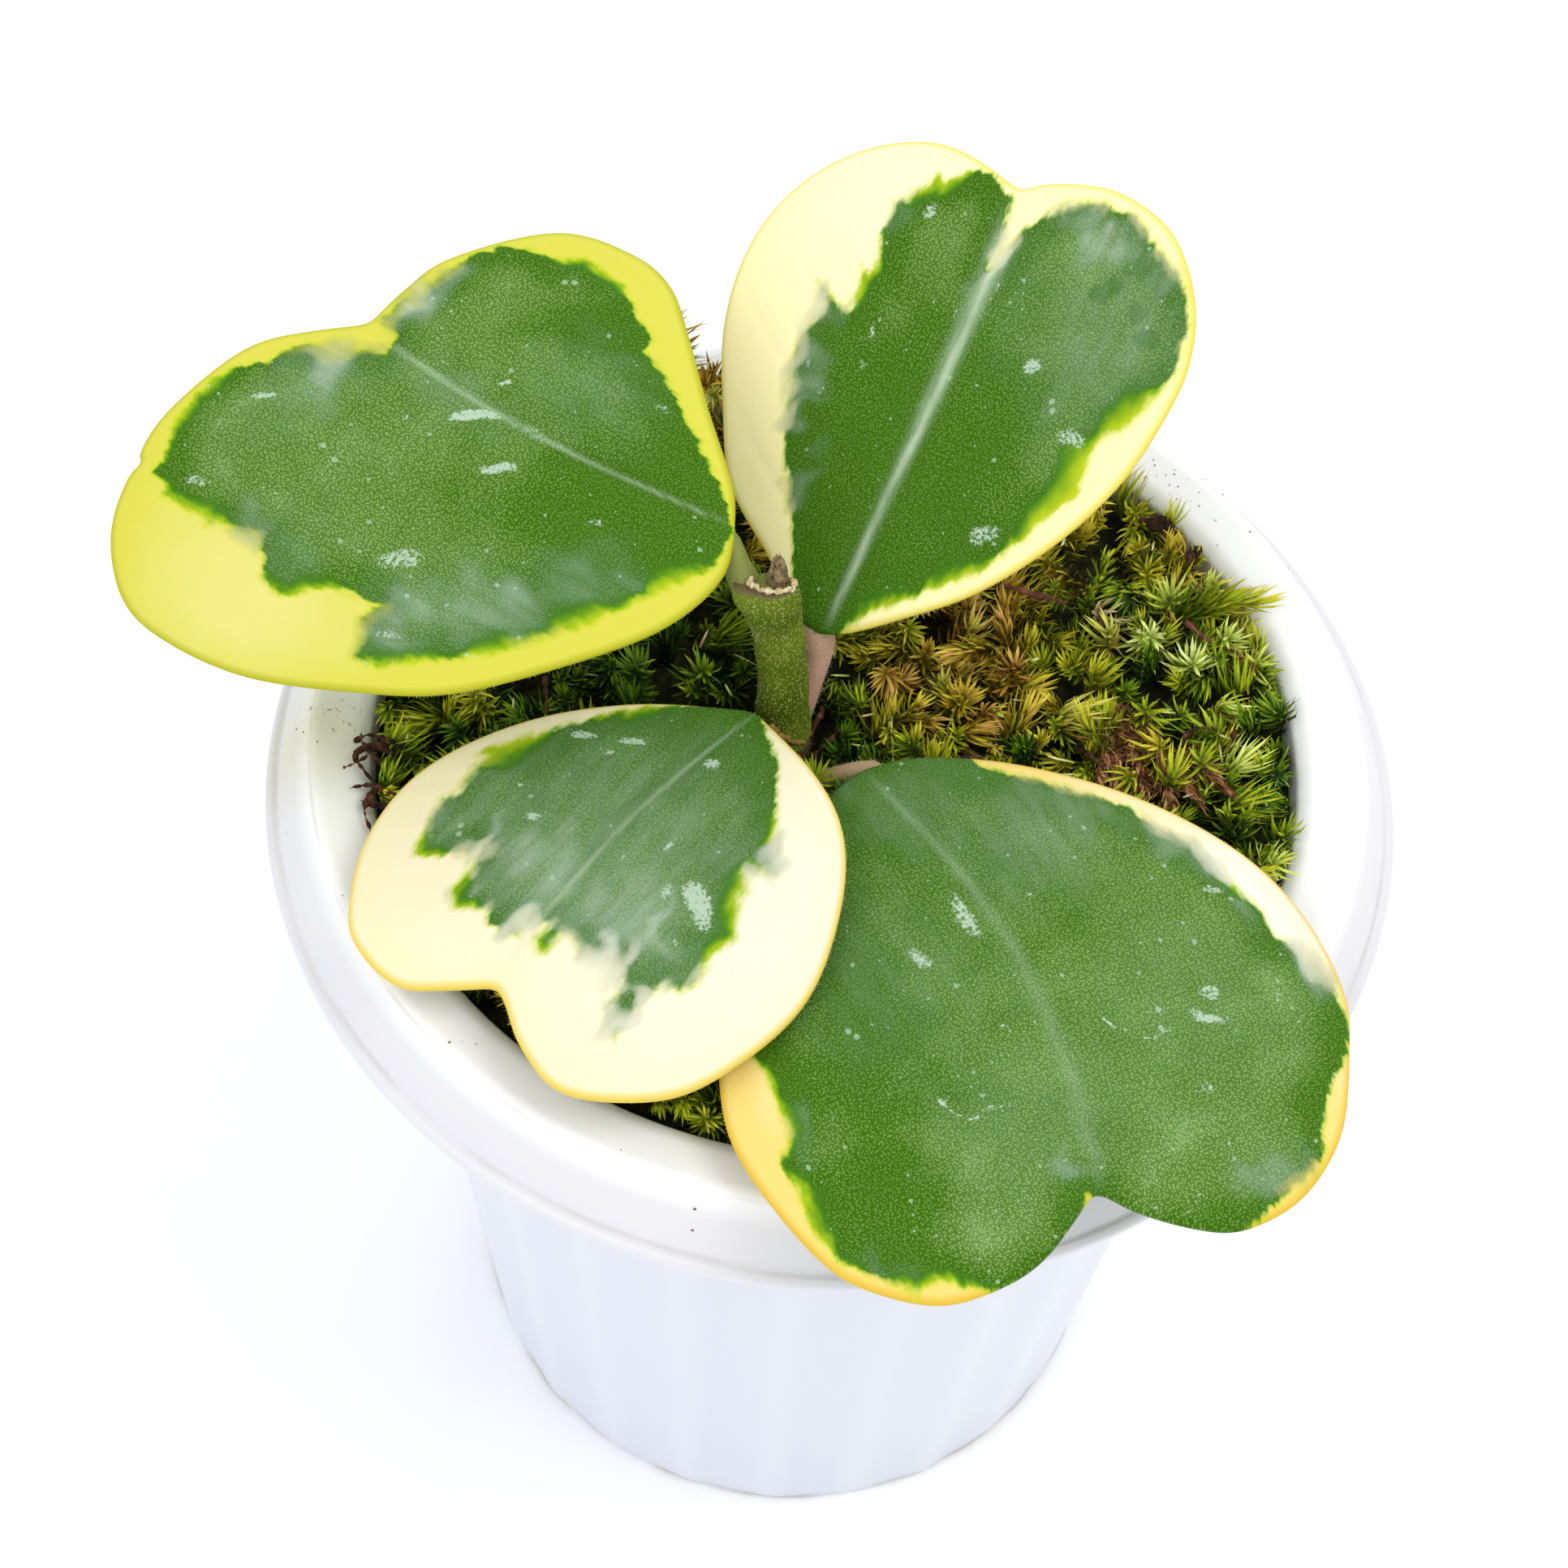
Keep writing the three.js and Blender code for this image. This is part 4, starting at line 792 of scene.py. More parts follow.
    # scattered flecks: pale ones on the green, a few brown ones
    fleckCells = node("TexVoronoi", place, 0.5, voronoi_dimensions="2D")
    fleckReach = node("MapRange", veil, 0.52, 0.72, 0, 0.2)
    fleckSize = node("Math", fleckCells, fleckReach, operation="LESS_THAN")
    fleckHere = node("Math", fleckSize, greenHere, operation="MULTIPLY")
    fleckSoft = node("Math", fleckHere, 0.5, operation="MULTIPLY")
    flecked = node("Mix", fleckSoft, scarred, "#B5CFB4")
    brownCells = node("TexVoronoi", place, 0.13)
    brownHere = node("MapRange", brownCells, 0.03, 0.012, 0, 0.7)
    finished = node("Mix", brownHere, flecked, "#6B4A22")
    gloss = node("MapRange", veil, 0, 1, 0.4, 0.62)
    pores = node("Math", scarHere, 0.8, dots, operation="MULTIPLY_ADD")
    bump = node("Bump", 0.14, 0.0002, None, pores)
    return finishMaterial(material, {
        "Base Color": finished, "Roughness": gloss, "Normal": bump, "IOR": 1.45, "Specular IOR Level": 0.1,
        "Subsurface Weight": 0.12, "Subsurface Radius": (1.0, 0.9, 0.35), "Subsurface Scale": 0.0012})


def makePetioleMaterial():
    # leaf stalk: a downy mauve-brown skin, olive at both ends
    material, node = startMaterial("downy leaf stalk")
    where = node("TexCoord", output="Object")
    cloud = node("TexNoise", where, 220, 4)
    along = node("Attribute", attribute_name="foot", output="Fac")
    wander = node("Math", cloud, 0.12, -0.06, operation="MULTIPLY_ADD")
    share = node("Math", along, wander, operation="ADD")
    skin = node("ValToRGB", share,
        stops=[(0.02, "#8A9440"), (0.12, "#C89C84"), (0.28, "#DEB29A"), (0.38, "#A08A62"),
            (0.6, "#8FA45C")])
    blush = node("Attribute", attribute_name="blush", output="Fac")
    tinted = node("Mix", blush, "#6E8024", skin)
    pores = node("TexVoronoi", where, 1500)
    poreHere = node("MapRange", pores, 0.22, 0.12, 0, 0.55)
    dotted = node("Mix", poreHere, tinted, "#54382E")
    bump = node("Bump", 0.3, 0.0002, None, cloud)
    return finishMaterial(material, {"Base Color": dotted, "Normal": bump, "Roughness": 0.6})


def makeBlade(leaf):
    count = leafLook["outlinePoints"]
    outline = bladeOutline(leaf, count)
    middle = (0, bladeLength(leaf) / 2, 0)
    clearSelection()
    bpy.ops.mesh.primitive_circle_add(vertices=count, radius=1)
    piece = bpy.context.object
    setPlaces(piece, np.column_stack([outline, np.zeros(count)]))
    # both faces grow inwards from the edge, ring by ring, and close on the midrib
    edgeShares = [0.998, 0.993, 0.985, 0.974, 0.962, 0.948]
    for rings, way in ((leafLook["upperRings"], 1), (leafLook["lowerRings"], -1)):
        shares = edgeShares + [0.93 * (1 - k / rings) for k in range(rings)]
        editPiece(piece)
        if way > 0:
            bpy.ops.mesh.select_all(action="SELECT")
        else:
            selectBoundary()
        previous = 1
        for share in shares:
            bpy.ops.mesh.extrude_edges_move(TRANSFORM_OT_translate={"value": (0, 0, 0.01 * way)})
            grow = share / previous
            bpy.ops.transform.resize(value=(grow, grow, 1), center_override=middle)
            previous = share
        bpy.ops.mesh.merge(type="CENTER")
    bpy.ops.object.mode_set(mode="OBJECT")
    spots = places(piece)
    flat = spots[:, :2]
    side = np.sign(np.where(np.abs(spots[:, 2]) < 0.005, 0, spots[:, 2]))
    edge, _ = outlineDistance(flat, outline)
    u, v = flat[:, 0], flat[:, 1]
    rounding = np.clip(edge / leafLook["roundEdge"], 0, 1)
    thick = leafLook["edgeThickness"] * np.sqrt(1 - (1 - rounding) ** 2)
    thick += (leafLook["thickness"] - leafLook["edgeThickness"]) * (1 - np.exp(-edge / 6))
    share = np.where(side > 0, leafLook["aboveSheet"], np.where(side < 0, leafLook["aboveSheet"] - 1, 0))
    offset = thick * share
    rib = np.abs(u - ribPlace(leaf, v))
    inward = np.clip(edge / 4, 0, 1)
    upper = side > 0
    offset -= np.where(upper, leafLook["ribDepth"] * np.exp(-(rib / 0.8) ** 2) * inward, 0)
    offset += np.where(upper, 0.25 * np.exp(-((rib - 2.6) / 2.2) ** 2) * inward, 0)
    # faint side veins, which leave the midrib towards the tip
    sideVein = (v - 0.7 * rib) % leafLook["veinSpacing"] - leafLook["veinSpacing"] / 2
    offset -= np.where(upper, leafLook["veinDepth"] * np.exp(-(sideVein / 0.6) ** 2) * inward, 0)
    ripple = np.array([noise.noise(Vector((a / 13, b / 13, leaf["heading"]))) for a, b in flat])
    offset += leafLook["ripple"] * ripple * inward
    setPlaces(piece, onSheet(leaf, u, v, offset) * mm)
    tidySurface(piece, weld=1e-7)
    # its markings, as attributes that the material reads
    reach, inside = outlineDistance(flat, leaf["green"])
    length = bladeLength(leaf)
    setAttribute(piece, "patch", np.where(inside, reach, -reach))
    setAttribute(piece, "ashy", markStrength(flat, leaf["ashy"], 3.2))
    setAttribute(piece, "lime", 0.45 + markStrength(flat, leaf["lime"], 2))
    setAttribute(piece, "scar", np.where(upper, markStrength(flat, leaf["scars"], 0.8), 0))
    setAttribute(piece, "edge", edge)
    fade = np.clip(v / 3, 0, 1) * np.clip((length - v) / 4, 0, 1)
    ribShift, ribWide, ribPale = leaf["ribLine"]
    offRib = (u - ribPlace(leaf, v) - ribShift) / (ribWide * (0.5 + 0.9 * v / length))
    setAttribute(piece, "rib", ribPale * np.exp(-offRib ** 2) * fade * upper)
    spotU, spotV, spotSize = leaf["creamSpot"]
    away = np.hypot(u - spotU, v - spotV) / spotSize
    setAttribute(piece, "creamy", 0.8 * np.exp(-away ** 2))
    setAttribute(piece, "foot", 0.62 * np.exp(-np.hypot(u, v) / (0.6 * length))
                 + markStrength(flat, leaf["deep"], 1))
    setUv(piece, "sheet", flat / 100)
    return piece


def makeLeaf(name, leaf, stalkSkin):
    blade = makeBlade(leaf)
    blade.data.materials.append(makeBladeMaterial(name, leaf))
    length = bladeLength(leaf)
    ribDepth = -1.5
    along = np.array([0.1, 0.3, 0.55]) * length
    rib = onSheet(leaf, ribPlace(leaf, along) * 0.5, along, np.full(3, ribDepth))
    stalk = tubeAlong([*leaf["petiole"], *rib], lambda share: between(leaf["girth"], share), 36, 4)
    count = 80
    nearest = smoothThrough([*leaf["petiole"], *rib], count)
    gaps = np.linalg.norm(places(stalk)[:, None, :] / mm - nearest[None, :, :], axis=2)
    setAttribute(stalk, "foot", gaps.argmin(1) / (count - 1))
    setAttribute(stalk, "blush", np.full(len(gaps), leaf["blush"]))
    stalk.data.materials.append(stalkSkin)
    stalk.data.shade_smooth()
    piece = joinPieces([blade, stalk])
    finishPiece(piece, "hoya_" + name, None, [name])


stalkSkin = makePetioleMaterial()
for leafName, leafShape in leaves.items():
    makeLeaf(leafName, leafShape, stalkSkin)
    print(leafName, "made")


# Stem: an upright cutting with swollen nodes, a corky cut at its top and a dry bud in it

stem = {
    "path": [(-3.6, 0.6, 66), (-4.6, 0.4, 92), (-5.6, 0.3, 108), (-5.9, 0.2, 116), (-6.3, 0.1, 124),
        (-6.9, -0.2, 129), (-7.5, -0.8, 134.5), (-7.75, -1.5, 138.7)],
    "radii": [(66, 1.9), (92, 2.3), (105, 2.65), (109, 3.2), (111.5, 3.1), (114, 2.85), (119, 2.65),
        (131, 2.6), (135, 2.75), (137.5, 2.7), (138.8, 2.55)],
    "collar": (-7.85, -1.75, 139.1),
    "collarRadius": 2.2,
    "flatness": 0.62,
    "flare": 1.3,
    "cutSlope": 0.3,
    "footRing": [(-7, -2.4, 116), (-6.2, -2.65, 115.1), (-4.9, -2.5, 113.4), (-3.4, -1.5, 111.9)],
    "bud": (-7.35, -1.15, 138.4),
    "budHeight": 4.9,
    "budScales": 7,
    "scaleGirth": [(0, 0.6), (0.5, 0.46), (1, 0.06)],
}


def makeStemMaterial():
    # green bark of a young vine: olive skin closely dotted with pale pores
    material, node = startMaterial("green vine bark")
    where = node("TexCoord", output="Object")
    stretched = node("Mapping", where, None, None, (1, 1, 0.6))
    cloud = node("TexNoise", where, 140, 4)
    skin = node("ValToRGB", cloud, stops=[(0.3, "#42580A"), (0.5, "#586C10"), (0.7, "#72841C")])
    dots = node("TexVoronoi", stretched, 3500, None, None, None, 0.8)
    dotHere = node("MapRange", dots, 0.42, 0.2, 0, 0.75)
    dotted = node("Mix", dotHere, skin, "#B4C062")
    # corky brown towards the cut top and at the foot
    height = node("SeparateXYZ", where).node.outputs
    wander = node("Math", cloud, 0.004, -0.002, operation="MULTIPLY_ADD")
    level = node("Math", height["Z"], wander, operation="ADD")
    corkTop = node("MapRange", level, 0.1385, 0.1393)
    corkFoot = node("MapRange", level, 0.1126, 0.1110)
    cork = node("Math", corkTop, corkFoot, operation="MAXIMUM")
    corky = node("Mix", cork, dotted, "#6A5836")
    bump = node("Bump", 0.4, 0.0002, None, dots)
    return finishMaterial(material, {
        "Base Color": corky, "Normal": bump, "Roughness": 0.5, "Specular IOR Level": 0.25})


def makeDryMaterial(name, low, middle, high, scale):
    # dead plant tissue, dried: matt and fibrous, with uneven browning; scale is in grains a metre
    material, node = startMaterial(name)
    where = node("TexCoord", output="Object")
    grain = node("TexNoise", where, scale, 5, 0.65)
    tone = node("ValToRGB", grain, stops=[(0.34, low), (0.5, middle), (0.66, high)])
    bump = node("Bump", 0.6, 0.0002, None, grain)
    return finishMaterial(material, {
        "Base Color": tone, "Normal": bump, "Roughness": 0.85, "Specular IOR Level": 0.2})


# Pushes each place of a piece in or out of its surface, by a lumpy amount in mm
def roughen(piece, amount, size, seed):
    spots = places(piece)
    normals = np.empty(spots.size)
    piece.data.vertices.foreach_get("normal", normals)
    lumps = [noise.noise(Vector(spot) / (size * mm) + Vector((seed, 0, 0))) for spot in spots]
    setPlaces(piece, spots + normals.reshape(-1, 3) * np.outer(lumps, [1, 1, 1]) * amount * mm)


def makeStem():
    fine = 200
    heights = smoothThrough(stem["path"], fine)[:, 2]
    radiusAt = lambda share: between(stem["radii"], heights[int(share * (fine - 1))])
    bark = tubeAlong(stem["path"], radiusAt, 90, 8)
    roughen(bark, 0.22, 2.5, 4)
    # the cut is oval and slopes: it is highest at the front
    spots = places(bark) / mm
    nearCut = np.clip((spots[:, 2] - 135) / 3, 0, 1)
    off = spots[:, 1] - stem["collar"][1]
    spots[:, 1] -= off * (1 - stem["flatness"]) * nearCut
    spots[:, 2] -= stem["cutSlope"] * off * nearCut
    # the last node flares out on the left, where the stalk of a leaf leaves it
    nearNode = np.clip((spots[:, 2] - 128) / 8, 0, 1) ** 2
    leftness = np.clip((stem["collar"][0] - spots[:, 0]) / 2.2, 0, 1)
    spots[:, 0] -= stem["flare"] * nearNode * leftness
    setPlaces(bark, spots * mm)
    finishPiece(bark, "stemBark", makeStemMaterial(), ["stem"])
    # the torn edge of bark round the cut: a C of thin cork, open at the back
    ring = []
    for degrees in range(-196, 31, 8):
        turn = math.radians(degrees)
        reach = stem["collarRadius"] * (1 + 0.06 * noise.noise(Vector((degrees / 20, 3, 5))))
        across, deep = reach * math.cos(turn), stem["flatness"] * reach * math.sin(turn)
        lift = 0.3 * noise.noise(Vector((degrees / 18, 0, 5))) - stem["cutSlope"] * deep
        ring.append(np.array(stem["collar"]) + [across, deep, lift])
    collar = tubeAlong(ring, lambda s: 0.27 + 0.14 * noise.noise(Vector((s * 24, 7, 0))), 90, 2)
    # and the old node at the foot, split and corky
    footRing = tubeAlong(stem["footRing"], lambda s: 0.34 + 0.2 * noise.noise(Vector((s * 9, 2, 0))), 30, 2)
    roughen(footRing, 0.25, 0.6, 2)
    roughen(collar, 0.25, 0.6, 2)
    oldCork = makeDryMaterial("old cork", "#6A5426", "#96783C", "#BE9A58", 1100)
    finishPiece(footRing, "stemFootRing", oldCork)
    cork = makeDryMaterial("torn cork", "#9C8458", "#D0BC8E", "#F0E4C4", 1500)
    finishPiece(collar, "stemCollar", cork)
    # the dried bud: pointed scales that lean together
    scales = []
    for k in range(stem["budScales"]):
        turn = k * goldenTurn
        out = np.array([math.cos(turn), math.sin(turn), 0])
        height = stem["budHeight"] * (1 - 0.09 * k)
        foot = np.array(stem["bud"]) + out * 0.58
        middle = np.array(stem["bud"]) + out * 0.46 + [0, 0, height * 0.45]
        tip = np.array(stem["bud"]) + out * (0.1 + 0.08 * k) + [-0.1, 0, height]
        scales.append(tubeAlong([foot, middle, tip], lambda s: between(stem["scaleGirth"], s), 14, 3))
    bud = joinPieces(scales)
    roughen(bud, 0.25, 0.5, 9)
    husk = makeDryMaterial("dry bud scale", "#4E3440", "#86704E", "#A8946A", 1300)
    finishPiece(bud, "stemBud", husk)


makeStem()
print("stem made")


# Moss: a dark bed, and shoots that stand in it like small bottle brushes

moss = {
    "rim": 109.3,
    "radius": 48.2,
    "bottom": 104.1,
    "mounds": [(-17, 39, 8.5, 11), (36, 16, 1.8, 9), (17, 26, 1.6, 8), (24, 4, 1.2, 7), (-30, 14, 1.4, 8),
        (-5.6, 0, -2.2, 7)],
    "shoots": 760,
    "rimShoots": 92,
    "leafLength": 2.8,
    "leafWidth": 0.46,
    "leavesPerShoot": 56,
    "starLeaves": 40,
    "starLength": 3.2,
    "deadLeaves": 90,
    "deadLength": 2.6,
    "leafSpacing": 0.09,
    "scraps": 130,
    "bedDepth": 3.2,
    "belowLeaf": 2.2,
    "wallRadius": 48,
    "lean": 0.75,
    "tuftSize": 7,
    # (x, y, spread, tone): places where the moss is lighter, golden or brown, and a low tone under
    # leaf_left that is painted shade
    "tones": [(36, 16, 9, 0.34), (24, 6, 8, 0.5), (12, 11, 8, 0.86), (20, 16, 8, 0.55), (34, 28, 7, 0.6),
        # the tone 0.1 at (-25, 4) is painted shade under leaf_left
        (-17, 39, 14, 0.76), (-25, 4, 16, 0.1), (-40, 0, 9, 0.42), (-5, -4, 8, 0.12), (42, -3, 9, 0.28),
        (-12, -38, 16, 0.45), (12, 30, 9, 0.5)],
    "usualTone": 0.38,
    "clump": (33, 0.5, 6.2, 4.6),
    "bare": [(-5.7, 0.3, 4), (-2.5, 3.6, 2.4), (-8.4, -3.3, 2.6), (2, -5.2, 2)],
    # (x, y, leaning towards x, y, tone) of shoots that stand out of the rest
    "stars": [(32.3, 15.4, 0.1, -0.3, 0.88), (36.8, 12.3, 0.1, -0.3, 0.9), (35, 20, -0.1, 0, 0.84),
        (38.4, 22.4, 0.3, 0.2, 0.82), (40, 15.5, 0.3, 0, 0.86), (43, 12.7, 0.4, 0.1, 0.82),
        (28.2, 14.1, 0, 0.2, 0.8), (28.7, 17.3, -0.6, 0.2, 1.0), (39.6, 6.7, 0.3, 0.1, 0.82),
        (40.5, 0.7, 0.5, -0.3, 0.86), (33.4, 0.7, 0.1, 0.1, 0.52), (23.6, 3.4, 0, 0, 0.8),
        (40.9, -4.2, 0.5, -0.2, 0.36), (44, -11, 0.6, -0.3, 0.86), (-13.3, 11.3, 0.2, 0, 0.3),
        (-15.2, 6, 0.2, 0, 0.25), (-21.5, 5.4, 0, 0.1, 0.2), (-37.2, 0.6, -0.3, 0.1, 0.5),
        (-2.2, -5.6, 0.1, -0.2, 0.35), (-3.2, -8, 0, -0.3, 0.4), (12.5, 5.5, 0.2, 0, 0.62),
        (18, 9, 0.1, 0.2, 0.7), (37.6, -0.4, 0.2, 0, 0.34), (35.2, -2, 0, -0.2, 0.42),
        (39, 3.2, 0.2, 0.1, 0.3), (32.4, 4.6, 0, 0.2, 0.38), (31.4, -2.4, -0.2, -0.2, 0.45)],
    # shoots that lie on their side: root x, y, z, then the way they point and their length
    "lying": [(36.2, 19.8, 112.8, 1, 0.05, 0.12, 8, 0.46), (35, 17.6, 112.4, 0.9, 0.3, 0.3, 6.5, 0.36),
        (26, 20, 113.4, -0.9, 0.3, 0.4, 8, 0.55), (18, 12, 112.5, -0.8, -0.4, 0.45, 8, 0.6),
        (-19, 36, 117, 0.2, -0.8, 0.5, 8, 0.95), (-15, 41, 117.5, 0.6, 0.3, 0.6, 8, 0.97),
        (-20, 42, 117, -0.2, 0.7, 0.6, 7, 0.72)],
    "dead": [(27.5, 7.2, 0.1, -1), (29.6, 7.4, 0.25, -1), (31.4, 6.6, 0.4, -1), (28.3, 4.8, -0.1, -1),
        (30.6, 3.6, 0.2, -1), (34, 3.2, 0.5, -1), (36, 2.6, 0.5, -0.6), (33.4, 1.6, 0.3, -1),
        (31.6, 1, 0.1, -1), (29.4, 1.4, 0, -1)],
}


def mossHeight(x, y):
    radius = np.hypot(x, y) / moss["radius"]
    inward = 1 - radius ** 16
    height = moss["rim"] + 1.1 * (1 - radius * radius)
    for moundX, moundY, lift, spread in moss["mounds"]:
        away = np.hypot(x - moundX, y - moundY) / spread
        height = height + inward * lift * np.exp(-away * away)
    return height


def mossTone(x, y):
    weight, total = 0.25, 0.25 * moss["usualTone"]
    for toneX, toneY, spread, tone in moss["tones"]:
        near = math.exp(-((x - toneX) ** 2 + (y - toneY) ** 2) / spread ** 2)
        weight += near
        total += near * tone
    return total / weight + 0.2 * noise.noise(Vector((x / 5, y / 5, 1)))


def makeMossMaterial():
    # cushion moss: thin translucent leaflets, dark at the foot and yellow-green at the tip
    material, node = startMaterial("cushion moss")
    uv = node("UVMap", uv_map="shoot")
    part = node("SeparateXYZ", uv).node.outputs
    body = node("ValToRGB", part["Y"],
        stops=[(0.0, "#162E04"), (0.2, "#36620A"), (0.4, "#8CA212"), (0.55, "#B6A61C"),
            (0.7, "#BC8030"), (0.82, "#A8C030"), (0.92, "#C0D060"), (1.0, "#B08E54")])
    tips = node("ValToRGB", part["Y"],
        stops=[(0.0, "#4E7E10"), (0.2, "#90B81C"), (0.4, "#E4E23A"), (0.55, "#F6E652"),
            (0.7, "#FCCE80"), (0.82, "#F0F27C"), (0.92, "#FCFCD4"), (1.0, "#F0E0B6")])
    towardsTip = node("MapRange", part["X"], 0.35, 1.0, 0, 0.8)
    leafTone = node("Mix", towardsTip, body, tips)
    where = node("TexCoord", output="Object")
    uneven = node("TexNoise", where, 700, 2)
    shade = node("MapRange", uneven, 0, 1, 0.72, 1.25)
    # little light reaches the foot of a shoot
    deep = node("MapRange", part["X"], 0.1, 0.6, 0.1, 1.15)
    dimmed = node("Math", shade, deep, operation="MULTIPLY")
    shaded = node("VectorMath", leafTone, dimmed, operation="SCALE")
    return finishMaterial(material, {
        "Base Color": shaded, "Roughness": 0.5, "Specular IOR Level": 0.2})


def makeLeaflet():
    # one leaflet, 1 long and 1 wide: a strip that narrows to a point
    clearSelection()
    bpy.ops.mesh.primitive_plane_add(size=1)
    piece = bpy.context.object
    bpy.ops.object.mode_set(mode="EDIT")
    bpy.ops.transform.resize(value=(0.36, 0.7, 1), center_override=(0, 0, 0))
    bpy.ops.transform.translate(value=(0.18, 0, 0))
    for reach, narrow in ((0.36, 0.85), (0.28, 0)):
        bpy.ops.object.mode_set(mode="OBJECT")
        front = max(vertex.co.x for vertex in piece.data.vertices) - 1e-4
        chosen = [vertex.index for vertex in piece.data.vertices if vertex.co.x > front]
        editPiece(piece)
        bpy.ops.object.mode_set(mode="OBJECT")
        for i in chosen:
            piece.data.vertices[i].select = True
        bpy.ops.object.mode_set(mode="EDIT")
        bpy.ops.mesh.extrude_edges_move(TRANSFORM_OT_translate={"value": (reach, 0, 0)})
        if narrow:
            bpy.ops.transform.resize(value=(1, narrow, 1))
        else:
            bpy.ops.mesh.merge(type="CENTER")
    bpy.ops.object.mode_set(mode="OBJECT")
    shape = places(piece)
    faces = [list(face.vertices) for face in piece.data.polygons]
    bpy.data.objects.remove(piece)
    return shape, faces


# How high the moss may reach at each place before it meets the blade above it
def roomBelowLeaves(x, y):
    room = np.full(len(x), np.inf)
    for leaf in leaves.values():
        across, along, out = sheetAxes(leaf)
        base = np.array(leaf["base"])
        height = base[2] - ((x - base[0]) * out[0] + (y - base[1]) * out[1]) / out[2]
        spots = np.column_stack([x, y, height]) - base
        u, v = spots @ across, spots @ along
        reach, inside = outlineDistance(np.column_stack([u, v]), leaf["near"] + leaf["far"])
        droop = np.where(u < 0, leaf["droopNear"], leaf["droopFar"])
        under = height - droop * u * u - leaf["droopAlong"] * v * v - moss["belowLeaf"]
        room = np.where(inside | (reach < 1.5), np.minimum(room, under), room)
    return room


# Leaflets of one shoot: their places in mm, and how far along the shoot each one stands
def growShoot(shape, root, way, leaflets, size, rng, opening=0.0):
    way = np.array(way, float) / np.linalg.norm(way)
    side = np.cross(way, [0.31, 0.89, 0.2])
    side /= np.linalg.norm(side)
    other = np.cross(way, side)
    share = (np.arange(leaflets) + 0.5) / leaflets
    turn = np.arange(leaflets) * goldenTurn + rng.uniform(0, 6.3)
    rise = np.radians(18 - 15 * opening + (46 - 24 * opening) * share ** 2) + rng.normal(0, 0.15, leaflets)
    reach = size * (1.0 - 0.25 * share ** 2) * rng.uniform(0.75, 1.15, leaflets)
    spin = rng.normal(0, 0.5, leaflets)
    curl = rng.normal(-0.35, 0.22, leaflets)
    # all leaflets of a shoot sweep a little to the same side
    sweep = rng.normal(0, 0.26, 3)
    along, wide = shape[:, 0], shape[:, 1] * moss["leafWidth"] * size / moss["leafLength"]
    out = np.cos(turn)[:, None] * side + np.sin(turn)[:, None] * other
    flank = -np.sin(turn)[:, None] * side + np.cos(turn)[:, None] * other
    forward = np.cos(rise)[:, None] * out + np.sin(rise)[:, None] * way
    upward = -np.sin(rise)[:, None] * out + np.cos(rise)[:, None] * way
    tilted = np.cos(spin)[:, None] * flank + np.sin(spin)[:, None] * upward
    foot = root + np.outer(share * leaflets * moss["leafSpacing"], way)
    length = reach[:, None] * along[None, :]
    bend = -curl[:, None] * reach[:, None] * (along ** 2)[None, :]
    spots = foot[:, None, :] + length[:, :, None] * forward[:, None, :]
    spots = spots + bend[:, :, None] * upward[:, None, :] + wide[None, :, None] * tilted[:, None, :]
    spots = spots + (length * along)[:, :, None] * sweep
    # what is lower than the pot's rim stays inside its wall
    radius = np.hypot(spots[..., 0], spots[..., 1])
    wall = moss["wallRadius"]
    beyond = (spots[..., 2] < np.where(radius > 52.5, 111.7, 111.3)) & (radius > wall)
    spots[..., :2] *= np.where(beyond, wall / radius, 1)[..., None]
    return spots, share


# One piece of many leaflets; its uv holds the place along a leaflet and the colour tone
def buildShoots(name, shape, faces, shoots, material, nodes=()):
    spots = np.concatenate([shoot[0].reshape(-1, 3) for shoot in shoots])
    share = np.concatenate([shoot[1] for shoot in shoots])
    tone = np.concatenate([shoot[2] for shoot in shoots])
    perLeaf = len(shape)
    leafCount = len(tone)
    sizes = [len(face) for face in faces]
    corners = np.concatenate([np.array(face) for face in faces])
    allCorners = (corners[None, :] + (np.arange(leafCount) * perLeaf)[:, None]).ravel()
    allSizes = np.tile(sizes, leafCount)
    mesh = bpy.data.meshes.new(name)
    mesh.vertices.add(len(spots))
    mesh.vertices.foreach_set("co", (spots * mm).astype(np.float32).ravel())
    mesh.loops.add(len(allCorners))
    mesh.loops.foreach_set("vertex_index", allCorners.astype(np.int32))
    mesh.polygons.add(len(allSizes))
    starts = np.concatenate([[0], np.cumsum(allSizes)[:-1]])
    mesh.polygons.foreach_set("loop_start", starts.astype(np.int32))
    mesh.update(calc_edges=True)
    piece = bpy.data.objects.new(name, mesh)
    bpy.context.scene.collection.objects.link(piece)
    stand = np.repeat(share, perLeaf)
    along = np.tile(shape[:, 0], leafCount) * (0.3 + 0.4 * stand) + 0.3 * stand
    setUv(piece, "shoot", np.column_stack([along, np.repeat(tone, perLeaf)]))
    finishPiece(piece, name, material, nodes)


def makeMossBed():
    # rotted moss and peat, which shows dark between the shoots
    rings = [(2, moss["bottom"]), (20, moss["bottom"]), (47.6, moss["bottom"]), (48.2, 107), (48.3, 109)]
    rings += [(48 - step, 110) for step in range(0, 47)]
    bed = loftRings(rings, 120)
    spots = places(bed) / mm
    top = spots[:, 2] > 108.5
    x, y = spots[:, 0], spots[:, 1]
    bumps = np.array([noise.noise(Vector((a / 2.2, b / 2.2, 0))) for a, b in zip(x, y)])
    level = mossHeight(x, y) - moss["bedDepth"] + 0.9 * bumps
    spots[:, 2] = np.where(top, np.minimum(level, roomBelowLeaves(x, y)), spots[:, 2])
    setPlaces(bed, spots * mm)
    peat = makeDryMaterial("rotted moss", "#0E0D04", "#1F2208", "#3A3812", 700)
    finishPiece(bed, "mossBed", peat)


